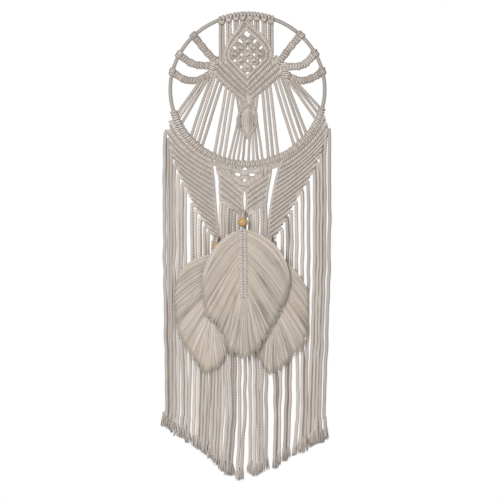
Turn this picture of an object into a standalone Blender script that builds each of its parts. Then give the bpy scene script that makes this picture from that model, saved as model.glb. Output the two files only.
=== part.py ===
"""Macrame wall hanging on a hoop, with three combed feathers and three wooden beads.

The hanging lies in the XZ plane and its front faces -Y. The origin is under the top wire of the hoop,
where a nail carries it. The tables give places in millimetres from the hoop's centre, x to the right
and z up, and every other size is in metres.
"""
import math

import bmesh
import bpy
from mathutils import Vector

MM = 0.001

# The hoop: its wire's centre line is an oval, a little lower than it is wide.
HOOP_RADIUS_X = 0.122
HOOP_RADIUS_Z = 0.118
WIRE_RADIUS = 0.003
HOOP_STEPS = 48
CLEARANCE = 0.0003

# The cord, drawn as a strand of four sides.
CORD_HALF = 0.00205
ROOT = 0.004

# Cords that cross differ a little in depth, so that no two of their faces lie in one plane.
# Each is a share of the cord's half width.
CORD_DEPTHS = (0.9, 0.94, 0.98, 1.02)
STRAND_DEPTHS = (0.93, 0.96, 0.99)
NET_DEPTHS = {-1: 0.86, 1: 0.93}
HEAD_DEPTH_FIRST = 0.9
HEAD_DEPTH_STEP = 0.012

# Ridged work: thickness from the middle plane to the front, on a ridge and between two ridges.
RIDGE_HALF = 0.0033
GROOVE_HALF = 0.0022
RIDGE_REACH = 0.0009

# Knots that go round the hoop's wire.
WRAP_RIDGE = 0.0066
WRAP_GROOVE = 0.0057
HEAD_COUNT = 8
HEAD_FIRST_X = -0.0401
HEAD_STEP = 0.01094
HEAD_HALF = 0.0046
HEAD_CORD_OFFSET = 0.0026
HEAD_CORD_DROP = 0.006
APEX_X = -0.0025
ARM_KNOT_HALF = 0.0060

# The bar of half hitches along the lower part of the hoop, by the oval's own angle.
BAR_START = math.radians(196.5)
BAR_END = math.radians(346.0)
BAR_RIDGES = 20

# Places of the feathers in front of the cloth, in millimetres.
FRONT_LEAF_Y = -22.5
SIDE_LEAF_Y = -10.8
CENTRE_BEAD_Y = -14.0

LEAF_HALF = 0.0017
SPINE_RIDGE = 0.0046
SPINE_GROOVE = 0.0036
SPINE_RIDGE_DEPTH = 0.0034
SPINE_GROOVE_DEPTH = 0.0027
SPINE_POINTS = 13
LOCKS_A_SIDE = 12
LOCK_UNEVEN = 0.025

# Sections of a lock. Columns: share of the way from the spine, share of its room across, thickness.
LOCK_SECTIONS = ((0.0, 0.9, 1.0), (0.35, 0.98, 1.05), (0.72, 1.0, 0.95), (1.0, 0.7, 0.5))

BEAD_RADIUS = 0.008
BEAD_ROWS = 6
BEAD_SIDES = 10
BEAD_SHARP_ANGLE = math.radians(40)
HANGER_RADIUS = 0.0022
BORE_RADIUS = 0.0027

# Ridged panels. Each row gives one bar: its share of the way across the panel, its two ends, and how
# far its middle bows to the left of the way from start to end.
# Columns: share, start x, start z, end x, end z, bow.
PANELS = {
    "border_left": dict(ridges=2, columns=2, rows=(
        (0.0, -1.2, 106.0, -38.5, 55.0, -2.5),
        (1.0, -1.2, 93.0, -28.8, 55.5, -2.0))),
    "border_right": dict(ridges=2, columns=2, rows=(
        (0.0, -3.8, 106.5, 41.5, 54.6, 3.5),
        (1.0, -3.8, 93.6, 30.4, 55.1, 3.0))),
    "chevron_left": dict(ridges=7, columns=2, rows=(
        (0.0, -31.5, 60.5, 2.2, 20.5, -1.0),
        (0.35, -40.5, 46.0, 2.2, 7.0, -2.0),
        (1.0, -57.7, 26.1, 3.4, -22.9, -5.0))),
    "chevron_right": dict(ridges=7, columns=2, rows=(
        (0.0, 33.0, 60.2, -1.5, 21.0, 1.0),
        (0.35, 43.5, 46.4, -1.5, 7.4, 1.5),
        (1.0, 63.2, 27.7, 0.6, -22.4, 1.5))),
    "wing_left": dict(ridges=17, columns=3, rows=(
        (0.0, -119.5, -41.0, -57.5, -108.5, -9.0),
        (0.25, -120.9, -99.5, -52.6, -146.0, -3.0),
        (0.5, -102.7, -145.4, -50.0, -184.1, 0.0),
        (0.75, -79.0, -192.0, -46.8, -215.7, 0.0),
        (1.0, -51.3, -237.8, -43.5, -243.0, 0.0))),
    "wing_right": dict(ridges=17, columns=3, rows=(
        (0.0, 121.5, -33.5, 53.5, -109.0, 9.5),
        (0.25, 125.0, -76.6, 43.9, -145.5, 5.0),
        (0.5, 101.9, -131.9, 37.3, -180.1, 1.0),
        (0.75, 71.9, -181.7, 32.8, -212.5, 0.0),
        (1.0, 41.5, -239.0, 33.6, -243.5, 0.0))),
    "centre_left": dict(ridges=7, columns=2, rows=(
        (0.0, -52.9, -120.5, -22.1, -127.5, 0.0),
        (0.17, -49.8, -129.5, -20.5, -137.0, 0.0),
        (0.3, -47.4, -137.3, -4.4, -148.7, 0.0),
        (0.45, -45.8, -146.7, -7.3, -159.4, 0.0),
        (0.85, -43.0, -169.9, -7.5, -187.2, 0.0),
        (1.0, -42.2, -177.0, -2.6, -201.0, 0.0))),
    "centre_right": dict(ridges=7, columns=2, rows=(
        (0.0, 39.5, -120.1, 13.4, -127.1, 0.0),
        (0.17, 37.1, -129.5, 10.6, -136.4, 0.0),
        (0.3, 34.8, -137.3, -5.2, -148.3, 0.0),
        (0.45, 32.4, -146.7, -1.3, -159.0, 0.0),
        (0.85, 30.3, -169.9, -1.1, -186.8, 0.0),
        (1.0, 30.5, -177.0, -5.4, -200.6, 0.0))),
}

# Knotted arms from the hoop to the chevron: the way along the middle of each.
ARM_HALF_WIDTH = 0.0059
ARM_HALF_DEPTH = 0.0034
ARM_SCALLOP = 0.001
ARM_PITCH = 0.0105
ARMS = {
    "arm_left_top": ((-84.5, 84.5), (-70.3, 66.4), (-60.0, 54.5), (-46.0, 40.5)),
    "arm_left_middle": ((-107.0, 54.8), (-92.9, 43.9), (-79.3, 38.6), (-57.5, 37.4)),
    "arm_left_low": ((-118.3, 27.7), (-101.9, 16.7), (-87.5, 14.1), (-74.7, 15.8), (-58.0, 25.5)),
    "arm_right_top": ((84.0, 86.0), (67.9, 67.2), (53.9, 48.5), (44.0, 39.5)),
    "arm_right_middle": ((106.5, 57.0), (99.2, 48.5), (85.6, 37.6), (61.5, 35.9)),
    "arm_right_low": ((118.2, 29.0), (108.2, 21.1), (90.1, 14.1), (75.2, 16.0), (61.4, 23.7)),
}

# Bars on their own: half width, half depth, and the way along the middle.
BAR_COLUMNS = ("half_width", "half_depth", "path")
BARS = {
    "side_knot_left": (5.2, 3.7, ((-54.5, 42.5), (-57.0, 31.0), (-57.9, 20.5))),
    "side_knot_right": (5.2, 3.7, ((58.7, 41.5), (60.6, 29.0), (60.9, 18.5))),
    "pendant_left": (3.1, 3.5, ((3.5, -20.5), (-7.5, -34.0), (-13.6, -46.6), (-8.5, -62.0), (1.6, -77.5))),
    "pendant_right": (3.1, 3.6, ((1.5, -20.9), (9.6, -34.0), (14.6, -46.6), (8.9, -62.0), (-0.9, -77.1))),
    "centre_knot": (6.3, 3.9, ((-4.3, -129.5), (-4.6, -140.0))),
    "under_bar_left": (2.9, 3.1, ((-60.5, -112.5), (-40.0, -124.0), (-16.5, -131.5))),
    "under_bar_right": (2.9, 3.0, ((55.5, -112.8), (36.0, -124.2), (8.0, -131.2))),
}

BERRY_CENTRE = (1.4, -47.6)
BERRY_HALF = (11.4, 5.9, 17.5)

# The net in the diamond: square knots on a slanting lattice, joined by cords.
NET_CENTRE = (0.6, 54.6)
NET_STEP = (10.1, 10.1)
NET_ROWS = (1, 2, 3, 2, 1)
NET_EDGE_REACH = 0.86
NET_KNOT_HALF = 0.0057
NET_KNOT_TAPER = 0.62
NET_CORD_HALF = 0.0040

# Straight cords, by the ends that show: top and foot.
CORD_COLUMNS = ("top_x", "top_z", "foot_x", "foot_z")
FAN_CORDS = (
    (-76.5, 11.9, -109.8, -37.4),
    (-70.5, 11.9, -107.3, -43.8),
    (-64.3, 14.2, -103.5, -52.3),
    (-57.4, 18.6, -89.3, -74.6),
    (-52.5, 19.5, -83.9, -79.5),
    (-46.3, 15.2, -77.9, -85.5),
    (-40.6, 8.9, -72.2, -90.2),
    (-34.0, 1.5, -52.1, -101.9),
    (-27.7, -4.3, -44.7, -105.9),
    (-22.1, -9.1, -37.3, -109.0),
    (-15.4, -53.0, -29.6, -111.4),
    (-12.4, -59.5, -22.8, -113.0),
    (-8.2, -66.5, -15.6, -113.8),
    (-3.6, -72.5, -7.6, -113.8),
    (3.6, -73.5, 1.7, -113.8),
    (7.7, -68.5, 9.5, -113.8),
    (11.7, -62.0, 16.6, -113.0),
    (15.4, -54.5, 23.5, -111.4),
    (24.3, -6.9, 33.0, -106.7),
    (30.3, -1.4, 40.1, -104.4),
    (36.0, 2.6, 47.9, -100.3),
    (43.8, 9.7, 72.7, -85.2),
    (49.1, 14.4, 79.3, -79.5),
    (54.2, 17.8, 86.1, -73.5),
    (59.4, 18.8, 92.1, -67.6),
    (64.8, 12.9, 107.6, -45.8),
    (70.3, 12.6, 111.9, -38.7),
    (76.0, 12.4, 116.1, -30.8),
)
PENDANT_CORDS = (
    (-16.6, -14.2, -12.2, -38.1),
    (-11.3, -17.6, -8.4, -31.6),
    (10.3, -18.2, 8.7, -27.1),
    (15.4, -13.5, 12.8, -35.0),
)
CENTRE_KNOT_CORDS = (
    (-7.0, -125.5, -6.4, -128.0),
    (-1.2, -125.5, -2.0, -128.0),
    (-7.4, -142.0, -9.2, -145.5),
    (-1.6, -142.0, 0.6, -145.5),
)

# Fringes. The strip follows the cloth's edge at the table's share of the way, and the cords hang from
# it in lanes that are evenly spaced, first to last, by the x of the lane at mid height and at the hem.
STRIP_HALF_WIDTH = 0.0019
STRIP_HALF_DEPTH = 0.0027
ARCH_DROP = 0.011
TUFT_LENGTH = 0.016
TUFT_MIDDLE = 0.4
TUFT_HALF_DEPTH = 0.0034
TUFT_WIDTHS = (1.02, 0.85)
TUFT_DEPTHS = (1.0, 0.8)
WAVE_HEIGHT = 0.0006
SIDE_STRIP_POINTS = 15
CENTRE_STRIP_POINTS = 9
STEEP_POINTS = 5
STEEP_FIRST = 0.3
# Columns: x, z.
HEM = (
    (-135.0, -531.7), (-123.9, -536.0), (-112.0, -549.0), (-87.5, -564.4), (-59.4, -582.5),
    (-42.0, -603.0), (-11.9, -616.4), (8.0, -611.0), (43.5, -598.7), (62.6, -583.5),
    (97.8, -566.4), (130.0, -549.1),
)
FRINGES = {
    "fringe_left": dict(
        strands=17, lanes=(-131.9, -48.2), hem_lanes=(-125.6, -42.4), side=-1.0,
        edge=((-120.9, -52.0), (-120.9, -99.5), (-102.7, -145.4), (-79.0, -192.0), (-48.5, -242.0))),
    "fringe_right": dict(
        strands=17, lanes=(41.9, 129.6), hem_lanes=(43.4, 124.6), side=1.0,
        edge=((124.3, -46.0), (125.0, -76.6), (101.9, -131.9), (71.9, -181.7), (39.6, -243.0))),
}
CENTRE_FRINGE = dict(
    strands=6, lanes_left=(-39.5, -12.4), hem_left=(-36.2, -6.4),
    lanes_right=(3.0, 28.6), hem_right=(4.6, 30.8),
    edge=((-42.2, -176.4), (-23.5, -188.4), (-4.0, -201.6), (13.5, -188.8), (30.5, -176.6)))

# Feathers: the spine from top to bottom, how far a fibre runs out and down before it bends (as a share
# of its reach and of its drop), and where the fibres' tips lie to each side.
# Columns: share of the way from the top lock to the bottom lock, x, z.
LEAVES = {
    "leaf_front": dict(
        spine=((-7.3, -221.0), (-6.6, -275.0), (-5.8, -328.0)), depth=FRONT_LEAF_Y, bend=(0.83, 0.15),
        hanger=((-4.6, -3.7, -193.5), (-4.8, -7.0, -193.7), (-6.2, -11.5, -196.5), (-7.3, -14.0, -201.0),
                (-7.3, -14.0, -219.0), (-7.3, -19.5, -224.0)),
        left=((0.0, -72.7, -308.9), (0.2, -71.4, -335.8), (0.4, -67.2, -361.0), (0.6, -49.8, -375.0),
              (0.75, -37.0, -392.6), (0.87, -30.0, -414.8), (1.0, -8.7, -426.6)),
        right=((0.0, 67.9, -307.3), (0.2, 64.8, -327.9), (0.4, 56.9, -348.4), (0.6, 43.5, -372.1),
               (0.78, 29.2, -394.2), (0.9, 15.0, -414.8), (1.0, -4.0, -425.8))),
    "leaf_left": dict(
        spine=((-48.2, -258.5), (-52.0, -312.0), (-57.7, -364.0)), depth=SIDE_LEAF_Y, bend=(0.78, 0.16),
        hanger=((-46.8, -3.7, -233.0), (-46.9, -5.8, -233.2), (-47.6, -9.4, -236.0), (-48.2, -10.8, -240.2),
                (-48.2, -10.8, -261.0)),
        left=((0.0, -110.6, -296.3), (0.15, -116.9, -316.8), (0.3, -119.3, -342.1), (0.45, -116.9, -367.4),
              (0.6, -110.6, -391.1), (0.72, -99.5, -411.6), (0.86, -83.7, -433.7), (1.0, -65.6, -454.3)),
        right=((0.0, -8.0, -340.0), (0.3, -12.0, -375.0), (0.55, -24.0, -408.0), (0.7, -33.2, -424.2),
               (0.85, -45.8, -442.4), (1.0, -62.4, -454.3))),
    "leaf_right": dict(
        spine=((36.0, -258.5), (37.0, -312.0), (38.7, -364.0)), depth=SIDE_LEAF_Y, bend=(0.72, 0.26),
        hanger=((37.0, -3.7, -233.0), (36.9, -5.8, -233.2), (36.4, -9.4, -236.0), (36.0, -10.8, -240.2),
                (36.0, -10.8, -261.0)),
        left=((0.0, 2.0, -345.0), (0.35, 4.0, -385.0), (0.6, 12.0, -415.0), (0.8, 22.9, -440.2),
              (1.0, 36.3, -454.3)),
        right=((0.0, 97.2, -326.3), (0.2, 99.5, -357.2), (0.38, 97.2, -386.3), (0.54, 89.7, -411.6),
               (0.7, 68.7, -429.8), (0.86, 54.5, -444.8), (1.0, 40.3, -454.3))),
}
BEADS = {
    "bead_centre": (-7.3, CENTRE_BEAD_Y, -210.0),
    "bead_left": (-48.2, SIDE_LEAF_Y, -249.0),
    "bead_right": (36.0, SIDE_LEAF_Y, -249.0),
}

CENTRE_Z = -(HOOP_RADIUS_Z - WIRE_RADIUS)


def clear_scene():
    for old in list(bpy.data.objects):
        bpy.data.objects.remove(old, do_unlink=True)


def make_material(name, colour, roughness):
    material = bpy.data.materials.new(name)
    material.use_nodes = True
    shader = material.node_tree.nodes["Principled BSDF"]
    shader.inputs["Base Color"].default_value = (*colour, 1.0)
    shader.inputs["Roughness"].default_value = roughness
    shader.inputs["Metallic"].default_value = 0.0
    return material


def flat(x, z, y=0.0):
    """A table's place in millimetres, as a point in metres."""
    return Vector((x, y, z)) * MM


def smooth_line(points, steps):
    """Points on the Catmull-Rom curve through the given ones, with so many steps to each stretch."""
    padded = [points[0] * 2 - points[1], *points, points[-1] * 2 - points[-2]]
    line = []
    for index in range(len(points) - 1):
        before, first, last, after = padded[index:index + 4]
        for step in range(steps):
            t = step / steps
            line.append(0.5 * (2 * first + (last - before) * t
                               + (2 * before - 5 * first + 4 * last - after) * t ** 2
                               + (3 * first - before - 3 * last + after) * t ** 3))
    line.append(points[-1].copy())
    return line


def even_line(points, count):
    """So many points at even distances along a smooth curve through the given ones."""
    fine = smooth_line(points, 12)
    reached = [0.0]
    for first, last in zip(fine, fine[1:]):
        reached.append(reached[-1] + (last - first).length)
    line = []
    for index in range(count):
        wanted = reached[-1] * index / (count - 1)
        after = next((i for i in range(1, len(fine)) if reached[i] >= wanted), len(fine) - 1)
        stretch = reached[after] - reached[after - 1]
        line.append(fine[after - 1].lerp(fine[after], (wanted - reached[after - 1]) / stretch))
    return line


def smooth_at(line, share):
    """The point of an even line at a share of the way."""
    place = share * (len(line) - 1)
    low = min(int(place), len(line) - 2)
    return line[low].lerp(line[low + 1], place - low)


def interpolate(rows, share):
    """The row of a table at a share of the way, worked out between its two nearest rows."""
    for low, high in zip(rows, rows[1:]):
        if share <= high[0]:
            break
    part = (share - low[0]) / (high[0] - low[0])
    return [a + (b - a) * part for a, b in zip(low[1:], high[1:])]


def new_object(name, mesh_maker, material=None):
    """An object from a function that fills a bmesh, with its faces turned out."""
    work = bmesh.new()
    mesh_maker(work)
    bmesh.ops.recalc_face_normals(work, faces=work.faces)
    mesh = bpy.data.meshes.new(name)
    work.to_mesh(mesh)
    work.free()
    thing = bpy.data.objects.new(name, mesh)
    bpy.context.collection.objects.link(thing)
    if material:
        mesh.materials.append(material)
    return thing


def skin(work, rings):
    """Joins rings of equal length into a closed body with flat ends."""
    made = [[work.verts.new(point) for point in ring] for ring in rings]
    count = len(made[0])
    for ring, following in zip(made, made[1:]):
        for index in range(count):
            after = (index + 1) % count
            work.faces.new((ring[index], ring[after], following[after], following[index]))
    work.faces.new(made[0])
    work.faces.new(list(reversed(made[-1])))


def section_angles(sides):
    return [math.pi * (2 * index + 1) / sides for index in range(sides)]


def bar_rings(line, half_widths, half_depths, sides):
    """Rings square to a line that runs in the plane of the cloth. Four sides make a flat front."""
    reach = 1.0 / math.cos(math.pi / sides)
    rings = []
    for index, point in enumerate(line):
        ahead = line[min(index + 1, len(line) - 1)] - line[max(index - 1, 0)]
        ahead.normalize()
        deep = Vector((0, 1, 0))
        if abs(ahead.y) > 0.2:
            deep = (deep - ahead * ahead.y).normalized()
        across = ahead.cross(deep).normalized()
        rings.append([point + across * math.cos(angle) * half_widths[index] * reach
                      + deep * math.sin(angle) * half_depths[index] * reach
                      for angle in section_angles(sides)])
    return rings


def hoop_point(angle):
    return Vector((HOOP_RADIUS_X * math.cos(angle), 0, HOOP_RADIUS_Z * math.sin(angle)))


def hoop_angle(point):
    return math.atan2(point.z / HOOP_RADIUS_Z, point.x / HOOP_RADIUS_X) % (2 * math.pi)


def add_oval_tube(work, radius, sides, steps):
    """A closed tube round the hoop's whole line."""
    reach = radius / math.cos(math.pi / sides)
    rings = []
    for step in range(steps):
        angle = 2 * math.pi * step / steps
        out = Vector((HOOP_RADIUS_Z * math.cos(angle), 0, HOOP_RADIUS_X * math.sin(angle))).normalized()
        rings.append([work.verts.new(hoop_point(angle) + out * math.cos(turn) * reach
                                     + Vector((0, math.sin(turn) * reach, 0)))
                      for turn in section_angles(sides)])
    for ring, following in zip(rings, rings[1:] + rings[:1]):
        for index in range(sides):
            after = (index + 1) % sides
            work.faces.new((ring[index], ring[after], following[after], following[index]))


def add_wrap(work, start, end, ridges, sides=6):
    """Turns of cord round the hoop's wire, drawn as a ridged sleeve that is bored out later."""
    count = 2 * ridges + 1
    line = [hoop_point(start + (end - start) * index / (count - 1)) for index in range(count)]
    sizes = [WRAP_RIDGE if index % 2 else WRAP_GROOVE for index in range(count)]
    skin(work, bar_rings(line, sizes, sizes, sides))


def panel_point(rows, share, along):
    """A point of a ridged panel, by the share across its bars and the way along a bar."""
    start_x, start_z, end_x, end_z, bow = interpolate(rows, share)
    start = flat(start_x, start_z)
    end = flat(end_x, end_z)
    direction = (end - start).normalized()
    left = Vector((-direction.z, 0, direction.x))
    return start.lerp(end, along) + left * (bow * MM * 4 * along * (1 - along))


def add_panel(work, rows, ridges, columns):
    """Parallel ridges side by side: the edge juts out at each ridge and draws in between two."""
    row_count = 2 * ridges + 1
    front, back = [], []
    for row in range(row_count):
        share = row / (row_count - 1)
        is_ridge = row % 2
        depth = RIDGE_HALF if is_ridge else GROOVE_HALF
        start = panel_point(rows, share, 0.0)
        end = panel_point(rows, share, 1.0)
        reach = (RIDGE_REACH if is_ridge else -RIDGE_REACH) / (end - start).length
        line = []
        for column in range(columns + 1):
            along = -reach + (1 + 2 * reach) * column / columns
            line.append(panel_point(rows, share, along))
        front.append([work.verts.new(point - Vector((0, depth, 0))) for point in line])
        back.append([work.verts.new(point + Vector((0, depth, 0))) for point in line])
    for row in range(row_count - 1):
        for column in range(columns):
            for side in (front, back):
                work.faces.new((side[row][column], side[row][column + 1],
                                side[row + 1][column + 1], side[row + 1][column]))
    for row in (0, row_count - 1):
        for column in range(columns):
            work.faces.new((front[row][column], front[row][column + 1],
                            back[row][column + 1], back[row][column]))
    for column in (0, columns):
        for row in range(row_count - 1):
            work.faces.new((front[row][column], front[row + 1][column],
                            back[row + 1][column], back[row][column]))


def add_arm(work, places):
    """A knotted arm: a flat bar whose edges swell at each knot."""
    path = [flat(x, z) for x, z in places]
    length = sum((b - a).length for a, b in zip(path, path[1:]))
    knots = round(length / ARM_PITCH)
    line = even_line(path, 2 * knots + 1)
    scallops = [0 if index % 2 else ARM_SCALLOP for index in range(len(line))]
    widths = [ARM_HALF_WIDTH - scallop for scallop in scallops]
    depths = [ARM_HALF_DEPTH - scallop * 0.7 for scallop in scallops]
    skin(work, bar_rings(line, widths, depths, 6))


def add_cord(work, top, foot, half_depth, half_width=CORD_HALF, root=ROOT):
    """A straight cord between the ends that show, with a root beyond each."""
    along = (foot - top).normalized()
    line = [top - along * root, foot + along * root]
    skin(work, bar_rings(line, [half_width] * 2, [half_depth] * 2, 4))


def add_ball(work, centre, halves, around, rows):
    """An egg-shaped knot."""
    bmesh.ops.create_uvsphere(work, u_segments=around, v_segments=rows, radius=1.0)
    for vert in work.verts:
        vert.co = Vector((vert.co.x * halves.x, vert.co.y * halves.y, vert.co.z * halves.z)) + centre


def net_knots():
    """The middle of each square knot of the net, and its place in the lattice."""
    knots = {}
    middle = len(NET_ROWS) // 2
    for row, count in enumerate(NET_ROWS):
        for index in range(count):
            column = 2 * index - (count - 1)
            knots[(column, row)] = flat(NET_CENTRE[0] + column * NET_STEP[0],
                                        NET_CENTRE[1] + (middle - row) * NET_STEP[1])
    return knots


def net_pieces():
    """Makers for the net's knots and for the cords that slant between them and to the border."""
    makers = []
    for place, centre in net_knots().items():
        line = [centre + Vector((0, 0, NET_KNOT_HALF)), centre, centre - Vector((0, 0, NET_KNOT_HALF))]
        taper = NET_KNOT_HALF * NET_KNOT_TAPER
        widths = [taper, NET_KNOT_HALF, taper]
        depths = [GROOVE_HALF, RIDGE_HALF, GROOVE_HALF]
        makers.append(lambda work, a=line, b=widths, c=depths: skin(work, bar_rings(a, b, c, 6)))
        for side in (-1, 1):
            for drop in (-1, 1):
                step = Vector((side * NET_STEP[0] * MM, 0, -drop * NET_STEP[1] * MM))
                neighbour = (place[0] + side, place[1] + drop)
                if neighbour in net_knots() and drop < 0:
                    continue
                half_depth = CORD_HALF * NET_DEPTHS[side]
                reach = 1.0 if neighbour in net_knots() else NET_EDGE_REACH
                makers.append(lambda work, a=centre, b=centre + step * reach, c=half_depth:
                              add_cord(work, a, b, c, NET_CORD_HALF, 0.0))
    return makers


def head_pieces():
    """Makers for the lark's-head knots on the hoop and the two cords that hang from each."""
    makers = []
    for index in range(HEAD_COUNT):
        x = HEAD_FIRST_X + index * HEAD_STEP
        angle = math.acos(x / HOOP_RADIUS_X)
        half = HEAD_HALF / HOOP_RADIUS_X
        makers.append(lambda work, a=angle - half, b=angle + half: add_wrap(work, a, b, 2))
        for side in (-1, 1):
            cord_x = x + side * HEAD_CORD_OFFSET
            top = hoop_point(math.acos(cord_x / HOOP_RADIUS_X)) - Vector((0, 0, HEAD_CORD_DROP))
            foot = Vector((cord_x, 0, border_height(cord_x)))
            if top.z - foot.z > ROOT:
                depth = CORD_HALF * (HEAD_DEPTH_FIRST + HEAD_DEPTH_STEP * index)
                makers.append(lambda work, a=top, b=foot, c=depth: add_cord(work, a, b, c))
    return makers


def border_height(x):
    """Where a cord from the top meets the upper edge of the diamond or the end of the chevron."""
    name = "border_left" if x < APEX_X else "border_right"
    apex_x, apex_z, corner_x, corner_z = (value * MM for value in PANELS[name]["rows"][0][1:5])
    part = (x - apex_x) / (corner_x - apex_x)
    if part > 1:
        return PANELS["chevron_left"]["rows"][1][2] * MM
    return apex_z + (corner_z - apex_z) * part


def arm_pieces():
    """Makers for the arms and for the knot that ties each to the hoop."""
    makers = []
    for places in ARMS.values():
        makers.append(lambda work, a=places: add_arm(work, a))
        angle = hoop_angle(flat(*places[0]))
        half = ARM_KNOT_HALF / HOOP_RADIUS_X
        makers.append(lambda work, a=angle - half, b=angle + half: add_wrap(work, a, b, 1))
    return makers


def bar_pieces():
    makers = []
    for values in BARS.values():
        row = dict(zip(BAR_COLUMNS, values))
        path = [flat(x, z) for x, z in row["path"]]
        line = even_line(path, len(path))
        makers.append(lambda work, a=line, b=row: skin(work, bar_rings(
            a, [b["half_width"] * MM] * len(a), [b["half_depth"] * MM] * len(a), 6)))
    return makers


def cord_pieces():
    makers = []
    for index, values in enumerate(FAN_CORDS + PENDANT_CORDS + CENTRE_KNOT_CORDS):
        row = dict(zip(CORD_COLUMNS, values))
        half_depth = CORD_HALF * CORD_DEPTHS[index % len(CORD_DEPTHS)]
        top = flat(row["top_x"], row["top_z"])
        foot = flat(row["foot_x"], row["foot_z"])
        makers.append(lambda work, a=top, b=foot, c=half_depth: add_cord(work, a, b, c))
    return makers


def unite(name, makers, material, cutter_maker=None):
    """One closed body from many closed pieces, less a cutter."""
    pieces = bpy.data.collections.new(name + "_pieces")
    bpy.context.scene.collection.children.link(pieces)
    body = new_object(name, makers[0], material)
    for index, maker in enumerate(makers[1:]):
        piece = new_object(f"{name}_piece_{index}", maker)
        bpy.context.collection.objects.unlink(piece)
        pieces.objects.link(piece)
    union = body.modifiers.new("union", "BOOLEAN")
    union.operation = "UNION"
    union.operand_type = "COLLECTION"
    union.collection = pieces
    if cutter_maker:
        cutter = new_object(name + "_cutter", cutter_maker)
        cut = body.modifiers.new("cut", "BOOLEAN")
        cut.operation = "DIFFERENCE"
        cut.object = cutter
    mesh = bpy.data.meshes.new_from_object(body.evaluated_get(bpy.context.evaluated_depsgraph_get()))
    body.modifiers.clear()
    body.data = mesh
    mesh.name = name
    for piece in list(pieces.objects):
        bpy.data.objects.remove(piece, do_unlink=True)
    bpy.data.collections.remove(pieces)
    if cutter_maker:
        bpy.data.objects.remove(cutter, do_unlink=True)
    return body


def make_hoop(material):
    return new_object("hoop", lambda work: add_oval_tube(work, WIRE_RADIUS, 8, HOOP_STEPS), material)


def make_net(material):
    makers = [lambda work: add_wrap(work, BAR_START, BAR_END, BAR_RIDGES)]
    for panel in PANELS.values():
        makers.append(lambda work, a=panel: add_panel(work, a["rows"], a["ridges"], a["columns"]))
    makers += head_pieces() + net_pieces() + arm_pieces() + bar_pieces() + cord_pieces()
    berry = flat(BERRY_CENTRE[0], BERRY_CENTRE[1])
    makers.append(lambda work: add_ball(work, berry, Vector(BERRY_HALF) * MM, 8, 6))
    return unite("macrame_net", makers, material,
                 lambda work: add_oval_tube(work, WIRE_RADIUS + CLEARANCE, 8, HOOP_STEPS))


def hem_height(x):
    rows = [(place[0], place[1]) for place in HEM]
    return interpolate(rows, max(rows[0][0], min(rows[-1][0], x / MM)))[0] * MM


def add_strand(work, root, lane_x, hem_x, index):
    """A hanging cord: out of its strip in a small arch, down in faint waves, and frayed at its end."""
    foot = Vector((hem_x, 0, hem_height(hem_x)))
    bend = Vector((lane_x, 0, root.z - ARCH_DROP))
    knee = bend.lerp(foot, 0.5) + Vector((WAVE_HEIGHT, 0, 0))
    line = [root, bend, knee, foot + Vector((0, 0, TUFT_LENGTH)),
            foot + Vector((0, 0, TUFT_LENGTH * TUFT_MIDDLE)), foot]
    depth = CORD_HALF * STRAND_DEPTHS[index % len(STRAND_DEPTHS)]
    widths = [CORD_HALF] * 4 + [CORD_HALF * share for share in TUFT_WIDTHS]
    depths = [depth] * 4 + [TUFT_HALF_DEPTH * share for share in TUFT_DEPTHS]
    skin(work, bar_rings(line, widths, depths, 4))


def strip_line(edge, out, count):
    """The middle of a strip that lies just outside a cloth's edge."""
    line = even_line([flat(x, z) for x, z in edge], count)
    offset = STRIP_HALF_WIDTH + RIDGE_REACH
    moved = []
    for index, point in enumerate(line):
        ahead = line[min(index + 1, count - 1)] - line[max(index - 1, 0)]
        ahead.normalize()
        side = Vector((ahead.z, 0, -ahead.x)) * out
        moved.append(point + side * offset)
    return moved


def add_strip(work, line):
    skin(work, bar_rings(line, [STRIP_HALF_WIDTH] * len(line), [STRIP_HALF_DEPTH] * len(line), 4))


def lane(ends, index, count):
    return (ends[0] + (ends[1] - ends[0]) * index / (count - 1)) * MM


def point_at(line, x):
    """The last place where a line crosses an upright at x, or else its nearest end."""
    for first, last in reversed(list(zip(line, line[1:]))):
        if (x - first.x) * (x - last.x) <= 0 and first.x != last.x:
            return first.lerp(last, (x - first.x) / (last.x - first.x))
    return min((line[0], line[-1]), key=lambda point: abs(point.x - x))


def make_side_fringe(name, settings, material):
    side = settings["side"]
    line = strip_line(settings["edge"], -side, SIDE_STRIP_POINTS)
    steep = line[:STEEP_POINTS]
    count = settings["strands"]
    widest = max(side * point.x for point in line) - CORD_HALF
    outer = [index for index in range(count) if side * lane(settings["lanes"], index, count) > widest]
    if side > 0:
        outer.reverse()
    makers = [lambda work: add_strip(work, line)]
    for index in range(count):
        lane_x = lane(settings["lanes"], index, count)
        root = point_at(line, lane_x)
        if index in outer:
            root = smooth_at(steep, (outer.index(index) + STEEP_FIRST) / len(outer))
        hem_x = lane(settings["hem_lanes"], index, count)
        makers.append(lambda work, a=root, b=lane_x, c=hem_x, d=index: add_strand(work, a, b, c, d))
    return unite(name, makers, material)


def make_centre_fringe(material):
    line = strip_line(CENTRE_FRINGE["edge"], 1.0, CENTRE_STRIP_POINTS)
    makers = [lambda work: add_strip(work, line)]
    count = CENTRE_FRINGE["strands"]
    for half in ("left", "right"):
        for index in range(count):
            lane_x = lane(CENTRE_FRINGE["lanes_" + half], index, count)
            hem_x = lane(CENTRE_FRINGE["hem_" + half], index, count)
            root = point_at(line, lane_x)
            makers.append(lambda work, a=root, b=lane_x, c=hem_x, d=index: add_strand(work, a, b, c, d))
    return unite("fringe_centre", makers, material)


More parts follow.
